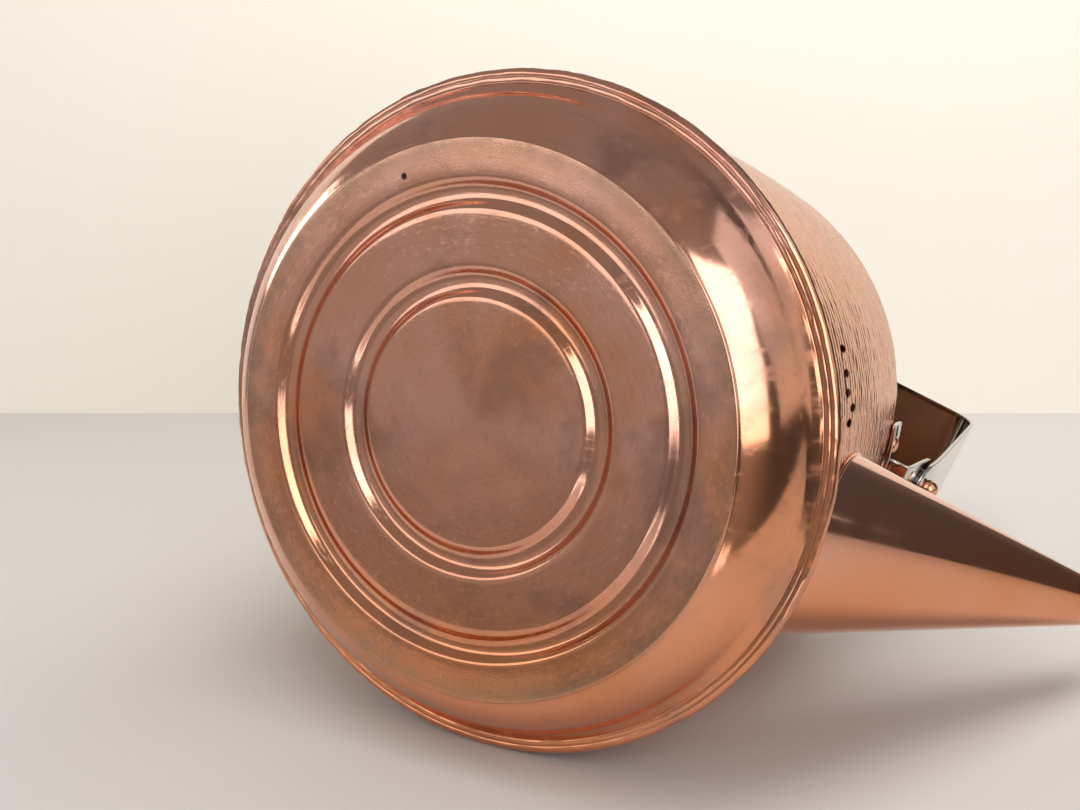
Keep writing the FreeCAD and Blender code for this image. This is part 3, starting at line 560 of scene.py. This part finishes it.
DOME_EDGE = (75.5, 166.6)
NECK_RADIUS = 57.2
NECK_FOOT = 171.0
NECK_CORNER = (NECK_RADIUS + 1.5, NECK_FOOT + 0.4)
DISHES_AROUND = 104
DISH_ROWS = 47
DISH_DEPTH = 0.34
DISH_SPREAD = 0.66
DISH_TALL = 3.9     # the usual dish, up the wall and round it
DISH_WIDE = 5.6
DISH_DRIFT = 0.3    # how far a dish may lie from its place in the grid, in half cells
WALL_LINING = [
    (NECK_RADIUS - SHEET, NECK_TOP), (NECK_RADIUS - SHEET, NECK_FOOT), (74.9, 165.3),
    (80.6, 162.6), (82.8, 157.5), (85.0, 140), (88.4, 110), (91.9, 80), (95.5, 50),
    (99.0, WALL_FOOT), (99.2, WALL_LOW[1]),
]


def wall_line():
    """The wall's outside from the seam to the top of the neck, as close points."""
    heights = np.linspace(WALL_LOW[1], WALL_HIGH[1], 60)
    line = [(wall_radius(h), h) for h in heights]
    line += arc(WALL_HIGH, DOME_EDGE, 10.0, 14)
    line += [DOME_EDGE] + arc(DOME_EDGE, NECK_CORNER, 150.0, 10)
    line += [NECK_CORNER, (NECK_RADIUS + 0.3, NECK_FOOT + 1.0)]
    line += [(NECK_RADIUS, NECK_FOOT + 2.0), (NECK_RADIUS, NECK_TOP)]
    return np.array(line)


def resampled(line, count):
    """A line's points, outward normals and lengths so far, at even distances."""
    steps = np.linalg.norm(np.diff(line, axis=0), axis=1)
    along = np.concatenate([[0], np.cumsum(steps)])
    wanted = np.linspace(0, along[-1], count)
    points = np.stack([np.interp(wanted, along, line[:, k]) for k in (0, 1)], axis=1)
    tangent = np.gradient(points, axis=0)
    tangent /= np.linalg.norm(tangent, axis=1)[:, None]
    return points, np.stack([tangent[:, 1], -tangent[:, 0]], axis=1), wanted


def dish_centres():
    """Row, column and strength of every dish, brick by brick, with a row to spare each way."""
    chance = np.random.RandomState(41)
    centres = []
    for k in range(-1, DISH_ROWS + 1):
        shift = 1.0 if k % 2 else 0.0
        for m in range(DISHES_AROUND):
            row = 2 * k + 1 + chance.uniform(-DISH_DRIFT, DISH_DRIFT)
            column = 2 * m + shift + chance.uniform(-DISH_DRIFT, DISH_DRIFT)
            centres.append((row, column, chance.uniform(0.75, 1.25)))
    return np.array(centres).reshape(DISH_ROWS + 2, DISHES_AROUND, 3)


def dish_relief(rows, columns, step, radii):
    """How far each point of the grid lies below the ridges between the hammer's dishes."""
    centres = dish_centres()
    relief = np.zeros((rows, columns))
    for i in range(rows):
        width = TURN * radii[i] / columns
        near = i // 2 + 1
        for j in range(columns):
            deepest = 0.0
            for k in range(max(near - 2, 0), min(near + 3, DISH_ROWS + 2)):
                for m in range(j // 2 - 2, j // 2 + 3):
                    row, column, strength = centres[k, m % DISHES_AROUND]
                    across = (j - column + columns / 2) % columns - columns / 2
                    away = math.hypot((i - row) * step / DISH_SPREAD / DISH_TALL,
                                      across * width / DISH_SPREAD / DISH_WIDE)
                    deepest = max(deepest, strength * (1 - away ** 2))
            relief[i, j] = deepest
    return relief


def make_wall():
    rows, columns = 2 * DISH_ROWS, 2 * DISHES_AROUND
    points, normals, along = resampled(wall_line(), rows)
    relief = dish_relief(rows, columns, along[1], points[:, 0])
    fade = np.clip((NECK_FOOT - 1.0 - points[:, 1]) / 2.0, 0, 1)
    fade *= np.clip((points[:, 1] - WALL_LOW[1]) / 1.5, 0, 1)
    sunk = (relief * fade[:, None])[..., None]
    sections = points[:, None, :] - normals[:, None, :] * sunk * DISH_DEPTH
    cage = round_axis(list(sections) + [[point] * columns for point in WALL_LINING])
    total = rows + len(WALL_LINING)
    faces = grid_faces(total, columns, True)
    last = (total - 1) * columns
    faces += [(last + j, last + (j + 1) % columns, (j + 1) % columns, j) for j in range(columns)]
    wall = piece("hammered_wall", cage, faces, COPPER_WALL)
    wall.data.materials.append(TIN)
    tin_from = rows * columns
    for polygon in wall.data.polygons:
        if min(polygon.vertices) >= tin_from:
            polygon.material_index = 1
    smoothed(wall)
    fitted(wall, "kettle", "hammered_copper", "body_shell")


# ---------------------------------------------------------------- spout

SPOUT_START = np.array([96.0, 0, 73.3])
SPOUT_WAY = np.array([math.cos(SPOUT_RISE), 0, math.sin(SPOUT_RISE)])
SPOUT_UP = np.array([-math.sin(SPOUT_RISE), 0, math.cos(SPOUT_RISE)])
SPOUT_SIDE = np.array([0, 1.0, 0])
SPOUT_ROOT = 28.6
SPOUT_TIP = 6.8
SPOUT_LENGTH = 114.0
SPOUT_SUNK = 0.8    # how far its foot reaches into the wall


def spout_point(angle, along, inset=0.0):
    """A point on the spout's cone."""
    reach = SPOUT_ROOT - (SPOUT_ROOT - SPOUT_TIP) * along / SPOUT_LENGTH - inset
    outward = SPOUT_UP * math.cos(angle) + SPOUT_SIDE * math.sin(angle)
    return SPOUT_START + SPOUT_WAY * along + outward * reach


def spout_foot(angle, inset=0.0):
    """How far along the spout it meets the wall, at one angle round it."""
    low, high = -44.0, 40.0
    for _ in range(40):
        middle = (low + high) / 2
        point = spout_point(angle, middle, inset)
        if math.hypot(point[0], point[1]) < wall_radius(point[2]):
            low = middle
        else:
            high = middle
    return low


def make_spout():
    around = 48
    shares = [0.0, 0.02, 0.07] + [0.07 + 0.93 * i / 9 for i in range(1, 10)]
    outside, inside = [], []
    for share in shares:
        for j in range(around):
            angle = TURN * j / around
            foot = spout_foot(angle)
            along = foot + (SPOUT_LENGTH - foot) * share - (SPOUT_SUNK if share == 0 else 0)
            outside.append(spout_point(angle, along))
            inside.append(spout_point(angle, along, SHEET))

    def lined(k):
        """The inside's point that lies behind point k of the outside."""
        return 2 * len(outside) - 1 - k

    faces = [face[::-1] for face in grid_faces(len(shares), around, True)]
    faces += [tuple(lined(k) for k in face[::-1]) for face in faces]
    top = len(outside) - around
    for j in range(around):
        k = (j + 1) % around
        faces.append((k, j, lined(j), lined(k)))
        faces.append((top + j, top + k, lined(top + k), lined(top + j)))
    spout = smoothed(piece("spout_tube", outside + inside[::-1], faces, COPPER_SPOUT), 2)
    fitted(spout, "kettle", "spun_copper", "spout")


def loop_tube(name, points, thickness, finish):
    """A closed round bead through points."""
    curve = bpy.data.curves.new(name, "CURVE")
    curve.dimensions = "3D"
    spline = curve.splines.new("NURBS")
    spline.points.add(len(points) - 1)
    for slot, point in zip(spline.points, points):
        slot.co = (*(Vector(point) * MM), 1)
    spline.use_cyclic_u = True
    spline.order_u = 4
    curve.bevel_depth = thickness * MM
    curve.bevel_resolution = 4
    curve.resolution_u = 6
    curve.materials.append(finish)
    obj = bpy.data.objects.new(name, curve)
    bpy.context.scene.collection.objects.link(obj)
    return obj


def make_spout_trim():
    angles = [TURN * j / 36 for j in range(36)]
    foot = [spout_point(angle, spout_foot(angle) + 0.3, 0.2) for angle in angles]
    bead = loop_tube("spout_solder", foot, 0.8, COPPER_PIN)
    fitted(bead, "kettle", "spun_copper")
    profile = [
        (6.9, 2.6), (7.6, 2.2), (7.9, 1.3), (7.6, 0.4), (6.9, 0.0),
        (5.9, 0.0), (5.6, 0.4), (5.6, 2.2), (5.9, 2.6),
    ]
    lip = spun("spout_rolled_lip", profile, COPPER_SPOUT, steps=48, loop=True)
    tip = SPOUT_START + SPOUT_WAY * SPOUT_LENGTH
    turn = Matrix.Rotation(math.pi / 2 - SPOUT_RISE, 4, "Y")
    place = Matrix.Translation(Vector(tip) * MM) @ turn
    fitted(settled(lip, place), "kettle", "spun_copper", "spout_lip")


# ---------------------------------------------------------------- lid and mouth

LID_BOW = 122.0
LID_SKIRT = 11.0
# Profiles of small turned parts: radius, and height above the part's own seat.
MOUTH_BEAD = [
    (57.4, 2.9), (58.3, 2.6), (58.6, 1.6), (58.6, 0.3), (58.2, 0),
    (56.0, 0), (55.6, 0.4), (55.6, 2.5), (55.9, 2.9),
]
KNOB_HEIGHT = 21.0
KNOB = [
    (0, 21), (6, 20.75), (10.5, 19.2), (13.8, 16.6), (15.1, 13.9), (14.5, 11.6), (11.6, 9.4),
    (8.2, 7.4), (6.3, 5.3), (6.3, 3.0), (7.0, 1.0), (7.0, 0.0), (6.0, 0.0), (0, 0),
]
KNOB_SCREW = [(0, 0.4), (4.9, 0.4), (5.0, -0.4), (4.4, -1.9), (2.6, -2.6), (0, -2.6)]


def seated(profile, level, rise=1.0):
    """A profile raised to its seat, and stretched upwards."""
    return [(radius, level + height * rise) for radius, height in profile]


def make_lid_sheet():
    top, under_crown = LID_SEAT + SHEET, LID_CROWN - SHEET
    dome = arc((10, LID_CROWN), (50, top), LID_BOW, 7, side=-1)
    under = arc((50, LID_SEAT), (10, under_crown), LID_BOW, 5)
    flange = [
        (49.4, top + 0.12), (50.6, top), (56, top), (60.2, top), (61.0, LID_SEAT + 0.9),
        (61.0, LID_SEAT + 0.3), (60.2, LID_SEAT), (55, LID_SEAT), (50.4, LID_SEAT),
    ]
    profile = [(0, LID_CROWN), (9, LID_CROWN)] + dome + flange
    profile += under + [(9, under_crown), (0, under_crown)]
    fitted(spun("lid_plate", profile, COPPER_SPOUT), "lid", "spun_copper", "lid_shell")


def make_mouth_and_lid():
    bead = seated(MOUTH_BEAD, NECK_TOP)
    fitted(spun("mouth_bead", bead, STEEL, loop=True), "kettle", "steel", "mouth_ring")
    make_lid_sheet()
    low = LID_SEAT - LID_SKIRT
    ring = [
        (54.8, LID_SEAT), (54.8, LID_SEAT - 3), (54.8, low + 0.6), (54.5, low), (53.9, low),
        (53.6, low + 0.6), (53.6, LID_SEAT - 3), (53.6, LID_SEAT),
    ]
    fitted(spun("lid_ring", ring, STEEL, loop=True), "lid", "steel", "lid_skirt")
    plate = [
        (0, PLATE_TOP), (7, PLATE_TOP), (9.2, PLATE_TOP), (9.9, PLATE_TOP - 0.9),
        (10, LID_CROWN), (0, LID_CROWN),
    ]
    fitted(spun("knob_washer", plate, STEEL, steps=64), "lid", "steel", "knob_plate")
    knob = seated(KNOB, PLATE_TOP, (KNOB_TOP - PLATE_TOP) / KNOB_HEIGHT)
    fitted(spun("knob_turned", knob, WOOD, steps=64), "lid", "grip_wood", "lid_knob")
    screw = seated(KNOB_SCREW, LID_CROWN - SHEET)
    fitted(spun("knob_screw_head", screw, STEEL, steps=32), "lid", "steel", "knob_screw")


# ---------------------------------------------------------------- ears and pivots

EAR_HALF = 11.0
EAR_SHELF = 162.75
BAIL_GAP = 0.9      # from the ear to the bail, with the washer between them
FOOT_LOW = 150.0
FOOT_BEARINGS = [-17, -14.5, -11, -7.4, -3.7, 0, 3.7, 7.4, 11, 14.5, 17]
RIVET_BEARING = 12
RIVET_PLACE = Vector((86.15, 0, 154.5)) * MM
RIVET_TILT = math.radians(80.5)
RIVET_THROUGH = 4.7
RIVET_HEAD = [(0, 1.6), (1.3, 1.5), (2.5, 0.95), (3.2, 0.1), (3.1, -0.3), (0, -0.3)]
RIVET_TAIL = [(0, 1.2), (2.2, 1.1), (2.8, 0.5), (2.8, -0.4), (0, -0.4)]


def ear_cage():
    """The middle of the ear's sheet: a curved foot, then a narrower shelf and lug."""
    foot = [(86.25, FOOT_LOW), (85.75, FOOT_LOW + 3), (85.15, 156), (84.9, 159.5),
            (84.9, EAR_SHELF)]
    points = []
    for reach, height in foot:
        for bearing in FOOT_BEARINGS:
            angle = math.radians(bearing)
            points.append((reach * math.cos(angle), reach * math.sin(angle), height))
    wide = len(FOOT_BEARINGS)
    faces = grid_faces(len(foot), wide, False)
    middle = [-EAR_HALF, -EAR_HALF / 2, 0, EAR_HALF / 2, EAR_HALF]
    face = EAR_FACE - STRIP / 2
    rows = [
        (86.4, EAR_SHELF, 1), (88.6, EAR_SHELF, 1), (face - 0.5, EAR_SHELF + 0.5, 1),
        (face, EAR_SHELF + 2.6, 1), (face, 175, 1), (face, PIVOT_HEIGHT, 1),
        (face, PIVOT_HEIGHT + 4.5, 0.93), (face, PIVOT_HEIGHT + 8.2, 0.7),
        (face, PIVOT_HEIGHT + 10.4, 0.38), (face, PIVOT_HEIGHT + 11, 0.16),
    ]
    before = [(len(foot) - 1) * wide + k for k in (3, 4, 5, 6, 7)]
    for x, z, share in rows:
        start = len(points)
        points += [(x, y * share, z) for y in middle]
        now = list(range(start, start + 5))
        faces += [(before[k], before[k + 1], now[k + 1], now[k]) for k in range(4)]
        before = now
    return points, faces


def make_ear(side, sign):
    points, faces = ear_cage()
    points = [(x * sign, y, z) for x, y, z in points]
    if sign < 0:
        faces = [face[::-1] for face in faces]
    ear = piece(side + "_ear_bent", points, faces, STEEL)
    sheet_work(ear, 0.35)
    fitted(ear, "kettle", "steel", side + "_ear")
    heads = []
    for bearing in (RIVET_BEARING, -RIVET_BEARING):
        place = Matrix.Rotation(math.radians(bearing), 4, "Z") @ Matrix.Translation(RIVET_PLACE)
        place = place @ Matrix.Rotation(RIVET_TILT, 4, "Y")
        if sign < 0:
            place = Matrix.Rotation(math.pi, 4, "Z") @ place
        heads.append(settled(spun("head", RIVET_HEAD, COPPER_PIN, steps=24), place))
        inward = place @ Matrix.Translation((0, 0, -RIVET_THROUGH * MM))
        inward = inward @ Matrix.Rotation(math.pi, 4, "X")
        heads.append(settled(spun("tail", RIVET_TAIL, COPPER_PIN, steps=16), inward))
    fitted(joined(side + "_rivets_set", heads), "kettle", "copper_pins", side + "_ear_rivets")


def lying(sign):
    """Turns a piece made about Z to lie along the bail's axis, pointing out of the kettle."""
    turn = Matrix.Rotation(sign * math.pi / 2, 4, "Y")
    return Matrix.Translation((0, 0, PIVOT_HEIGHT * MM)) @ turn


def make_pivot(side, sign):
    near, far = EAR_FACE + 0.05, EAR_FACE + 0.85
    washer = [
        (5.9, far), (6.0, far - 0.1), (6.0, near + 0.1), (5.9, near), (2.56, near), (2.56, far),
    ]
    disc = settled(spun("washer", washer, STEEL, steps=32, loop=True), lying(sign))
    fitted(disc, "kettle", "steel", side + "_washer")
    disc.name = side + "_friction_washer"
    seat = EAR_FACE + BAIL_GAP + STRIP + 0.05
    tail = EAR_FACE - STRIP
    pin = [
        (0, seat + 5.55), (1.5, seat + 5.3), (2.9, seat + 4.3), (3.65, seat + 2.7),
        (3.7, seat + 1.5), (3.3, seat + 0.1), (3.0, seat), (2.5, seat), (2.5, seat - 0.5),
        (2.5, tail + 0.2), (2.6, tail), (4.0, tail), (4.2, tail - 0.3), (3.5, tail - 1.4),
        (0, tail - 1.4),
    ]
    shank = settled(spun("pin", pin, COPPER_PIN, steps=32), lying(sign))
    shank.name = side + "_pin_headed"
    fitted(shank, "kettle", "copper_pins", side + "_pivot_pin")


# ---------------------------------------------------------------- bail and grip

BAIL_CORNER = 89.25
BEND_START = 262.0
BEND_REACH = 10.75
ARM_HALF_WIDTH = 9.5


def bail_path():
    """Middle of the strap from one round end to the other: x, height, half width."""
    arm = EAR_FACE + BAIL_GAP + STRIP / 2
    middle = BAIL_TOP - STRIP / 2
    low = [
        (arm, PIVOT_HEIGHT - 9.4, 1.8), (arm, PIVOT_HEIGHT - 8.6, 4.6),
        (arm, PIVOT_HEIGHT - 6.4, 7.4), (arm, PIVOT_HEIGHT - 3, 9.1), (arm, PIVOT_HEIGHT, 9.6),
        (arm, PIVOT_HEIGHT + 4, 9.9),
    ]
    for height in (202, 214, 228, 242, 254):
        share = (height - 200) / (BEND_START - 200)
        widened = (BAIL_HALF_WIDTH - ARM_HALF_WIDTH) * (height - 192) / 70
        low.append((arm + (BAIL_CORNER - arm) * share, height, ARM_HALF_WIDTH + widened))
    start, end = (BAIL_CORNER, BEND_START), (BAIL_CORNER - BEND_REACH, middle)
    bend = [start] + arc(start, end, BEND_REACH + 0.01, 4) + [end]
    low += [(x, z, BAIL_HALF_WIDTH) for x, z in bend]
    low += [(x, middle, BAIL_HALF_WIDTH) for x in (66, 44, 22)]
    far_side = [(-x, z, half) for x, z, half in reversed(low)]
    return low + [(0, middle, BAIL_HALF_WIDTH)] + far_side


def make_bail():
    shares = [-1, -0.5, 0, 0.5, 1]
    points = [(x, half * share, z) for x, z, half in bail_path() for share in shares]
    across = len(shares)
    faces = [face[::-1] for face in grid_faces(len(points) // across, across, False)]
    strap = piece("bail_bent", points, faces, STEEL_BAIL)
    sheet_work(strap, 0.3)
    fitted(strap, "bail", "steel", "bail_strap")


# A scale's section: across the strap, and up from it as a share of the scale's thickness.
GRIP_SECTION = [
    (-14.6, 0.0), (-15, 0.1), (-15.1, 0.55), (-13.6, 0.9), (-8, 1.02), (0, 1.06), (8, 1.02),
    (13.6, 0.9), (15.1, 0.55), (15, 0.1), (14.6, 0.0), (6, 0.0), (-6, 0.0),
]
GRIP_END_THICK = 5.0
GRIP_END_DRAWN = 0.86    # how much narrower and thinner the very end is
GRIP_RIVET_X = 34.0
GRIP_RIVET = [(0, 0.9), (2.2, 0.75), (3.7, 0.2), (4.0, -0.4), (3.6, -1.6), (0, -1.6)]


def scale_thickness(x, whole):
    """A scale's thickness at a place along it, arched from its ends to its middle."""
    share = 1 - (x / GRIP_HALF) ** 2
    return GRIP_END_THICK + (whole - GRIP_END_THICK) * share


def scale_cage(flat, peak):
    """A wooden scale: sections along X, flat on the strap and arched away from it."""
    sign = 1 if peak > flat else -1
    ends = [GRIP_HALF, GRIP_HALF - 0.7, GRIP_HALF - 4, 38, 20]
    stations = [-x for x in ends] + [0] + ends[::-1]
    points = []
    for x in stations:
        tall = scale_thickness(x, abs(peak - flat))
        drawn = GRIP_END_DRAWN if abs(x) >= GRIP_HALF else 1.0
        for y, share in GRIP_SECTION:
            rise = tall * share * (drawn if share > 0.2 else 1.0)
            points.append((x, y * drawn, flat + sign * rise))
    count = len(GRIP_SECTION)
    faces = grid_faces(len(stations), count, True)
    last = (len(stations) - 1) * count
    faces += [tuple(range(count))[::-1], tuple(range(last, last + count))]
    if sign > 0:
        return points, faces
    return points, [face[::-1] for face in faces]


def make_grip():
    over, under = BAIL_TOP + 0.05, BAIL_TOP - STRIP - 0.05
    for name, node, flat, peak in (("grip_scale_over", "grip_upper", over, GRIP_TOP),
                                   ("grip_scale_under", "grip_lower", under, GRIP_LOW)):
        points, faces = scale_cage(flat, peak)
        scale = smoothed(piece(name, points, faces, WOOD), 2)
        fitted(scale, "bail", "grip_wood", node)
    heads = []
    for x in (GRIP_RIVET_X, -GRIP_RIVET_X):
        above = over + scale_thickness(x, GRIP_TOP - over)
        below = under - scale_thickness(x, under - GRIP_LOW)
        for height, turn in ((above, 0.0), (below, math.pi)):
            place = Matrix.Translation((x * MM, 0, height * MM)) @ Matrix.Rotation(turn, 4, "X")
            heads.append(settled(spun("head", GRIP_RIVET, BRASS, steps=24), place))
    fitted(joined("grip_rivet_heads", heads), "bail", "brass_rivets", "grip_rivets")


make_base_pan()
make_wall()
make_spout()
make_spout_trim()
make_mouth_and_lid()
for side, sign in (("front", 1), ("rear", -1)):
    make_ear(side, sign)
    make_pivot(side, sign)
make_bail()
make_grip()


# ---------------------------------------------------------------- camera

CAMERA_AT = Vector((0.18489, -0.14020, -0.37562))
CAMERA_RIGHT = Vector((0.80042, -0.36477, 0.47568))
CAMERA_UP = Vector((-0.45706, -0.88481, 0.09058))
CAMERA_BACK = CAMERA_RIGHT.cross(CAMERA_UP)

camera_data = bpy.data.cameras.new("camera")
camera_data.lens = 50.0
camera_data.sensor_width = 36.0
camera_data.clip_start = 0.01
camera = bpy.data.objects.new("camera", camera_data)
bpy.context.scene.collection.objects.link(camera)
camera.matrix_world = Matrix.Translation(CAMERA_AT) @ Matrix(
    (CAMERA_RIGHT, CAMERA_UP, CAMERA_BACK)).transposed().to_4x4()
bpy.context.scene.camera = camera


# ---------------------------------------------------------------- floor, wall and light

# The kettle rests on its seam and its shoulder, so the floor is tilted in the kettle's frame.
# These are in metres.
FLOOR_UP = Vector((-0.3325, -0.9304, -0.1541)).normalized()
FLOOR_LEVEL = -0.1075
FLOOR_RIGHT = CAMERA_RIGHT
FLOOR_AHEAD = FLOOR_UP.cross(FLOOR_RIGHT)
CAMERA_FLOOR = CAMERA_AT - FLOOR_UP * (FLOOR_UP.dot(CAMERA_AT) - FLOOR_LEVEL)
WALL_AHEAD = 0.801
FLOOR_LEFT_END, FLOOR_RIGHT_END = -0.9, 1.0
FLOOR_FAR_EDGE, FLOOR_NEAR_EDGE = 0.33, 0.24
FLOOR_COLOUR = (0.58, 0.56, 0.545)
BOARD_LEFT, BOARD_RIGHT, BOARD_HEIGHT = -0.42, 0.37, 0.32
BOARD_COLOUR = (0.88, 0.85, 0.77)
# Right and ahead of the camera. The floor comes nearer to it on the right than on the left.
FLOOR_EDGE = [
    (FLOOR_LEFT_END, FLOOR_FAR_EDGE), (-0.06, FLOOR_FAR_EDGE), (-0.02, FLOOR_NEAR_EDGE),
    (FLOOR_RIGHT_END, FLOOR_NEAR_EDGE), (FLOOR_RIGHT_END, WALL_AHEAD),
    (FLOOR_LEFT_END, WALL_AHEAD),
]
BOARD_EDGE = [
    (BOARD_LEFT, 0), (BOARD_RIGHT, 0), (BOARD_RIGHT, BOARD_HEIGHT), (BOARD_LEFT, BOARD_HEIGHT),
]


def on_floor(right, ahead, up=0.0):
    """A point given from the floor below the camera."""
    return CAMERA_FLOOR + FLOOR_RIGHT * right + FLOOR_AHEAD * ahead + FLOOR_UP * up


def stage_finish(name, colour):
    """Pale matt paint, seen only from its front."""
    material = bpy.data.materials.new(name)
    material.use_nodes = True
    tree = material.node_tree
    shader = tree.nodes["Principled BSDF"]
    shader.inputs["Base Color"].default_value = (*colour, 1)
    shader.inputs["Roughness"].default_value = 0.6
    clear = tree.nodes.new("ShaderNodeBsdfTransparent")
    mix = tree.nodes.new("ShaderNodeMixShader")
    facing = tree.nodes.new("ShaderNodeNewGeometry")
    tree.links.new(facing.outputs["Backfacing"], mix.inputs[0])
    tree.links.new(shader.outputs[0], mix.inputs[1])
    tree.links.new(clear.outputs[0], mix.inputs[2])
    tree.links.new(mix.outputs[0], tree.nodes["Material Output"].inputs["Surface"])
    return material


def stage(name, corners, colour):
    """A flat piece of the room, which is no part of the kettle."""
    mesh = bpy.data.meshes.new(name)
    mesh.from_pydata(corners, [], [tuple(range(len(corners)))])
    mesh.materials.append(stage_finish(name, colour))
    obj = bpy.data.objects.new(name, mesh)
    bpy.context.scene.collection.objects.link(obj)


stage("floor", [on_floor(right, ahead) for right, ahead in FLOOR_EDGE], FLOOR_COLOUR)
stage("backdrop", [on_floor(right, WALL_AHEAD, up) for right, up in BOARD_EDGE], BOARD_COLOUR)

LIGHT_AIM = (0, 0, 0.04)


def soft_light(name, bearing, rise, distance, width, height, power,
               colour=(1, 1, 1), mirrored=True, target=None):
    """An area light round the kettle. bearing 0 is straight ahead of the camera, and
    positive to its right. It faces the kettle, or a target. mirrored says whether polished
    metal shows it."""
    bearing, rise = math.radians(bearing), math.radians(rise)
    way = (FLOOR_RIGHT * math.sin(bearing) + FLOOR_AHEAD * math.cos(bearing)) * math.cos(rise)
    way += FLOOR_UP * math.sin(rise)
    aim = Vector(LIGHT_AIM)
    data = bpy.data.lights.new(name, "AREA")
    data.shape = "RECTANGLE"
    data.size, data.size_y = width, height
    data.energy = power
    data.color = colour
    obj = bpy.data.objects.new(name, data)
    bpy.context.scene.collection.objects.link(obj)
    place = aim + way * distance
    back = (place - (target or aim)).normalized()
    side = FLOOR_UP.cross(back).normalized()
    top = back.cross(side)
    obj.matrix_world = Matrix.Translation(place) @ Matrix((side, top, back)).transposed().to_4x4()
    obj.visible_glossy = mirrored


# Bearing and rise in degrees, then distance, width and height in metres, then power.
soft_light("window_right", 156, 24, 1.2, 0.82, 1.0, 6.6)
soft_light("curtain_right", 110, 30, 1.2, 0.75, 1.2, 1.9)
soft_light("window_left", -57, 15, 0.95, 0.2, 0.34, 0.6)
soft_light("window_behind", -120, 26, 1.2, 1.2, 0.5, 2.1)
soft_light("wall_behind", -118, 8, 1.25, 1.2, 0.5, 0.2)
soft_light("table_gleam", 170, -27, 0.35, 0.14, 0.08, 0.06)
soft_light("board_wash", 62, 66, 0.6, 1.2, 0.4, 5.3, (1, 0.98, 0.93), mirrored=False,
           target=on_floor(0.04, WALL_AHEAD, 0.18))


ROOM_LEFT = (0.25, (0.30, 0.275, 0.255, 1))
ROOM_RIGHT = (0.8, (0.09, 0.082, 0.076, 1))


def room():
    """Dim all round, and darker to the right of the kettle."""
    world = bpy.data.worlds.new("room")
    bpy.context.scene.world = world
    world.use_nodes = True
    tree = world.node_tree
    way = tree.nodes.new("ShaderNodeTexCoord").outputs["Generated"]
    dot = tree.nodes.new("ShaderNodeVectorMath")
    dot.operation = "DOT_PRODUCT"
    dot.inputs[1].default_value = FLOOR_RIGHT
    tree.links.new(way, dot.inputs[0])
    ramp = tree.nodes.new("ShaderNodeValToRGB")
    ramp.color_ramp.interpolation = "EASE"
    for stop, (position, colour) in zip(ramp.color_ramp.elements, (ROOM_LEFT, ROOM_RIGHT)):
        stop.position = position
        stop.color = colour
    tree.links.new(dot.outputs["Value"], ramp.inputs[0])
    tree.links.new(ramp.outputs[0], tree.nodes["Background"].inputs["Color"])


room()
bpy.context.scene.view_settings.view_transform = "Standard"
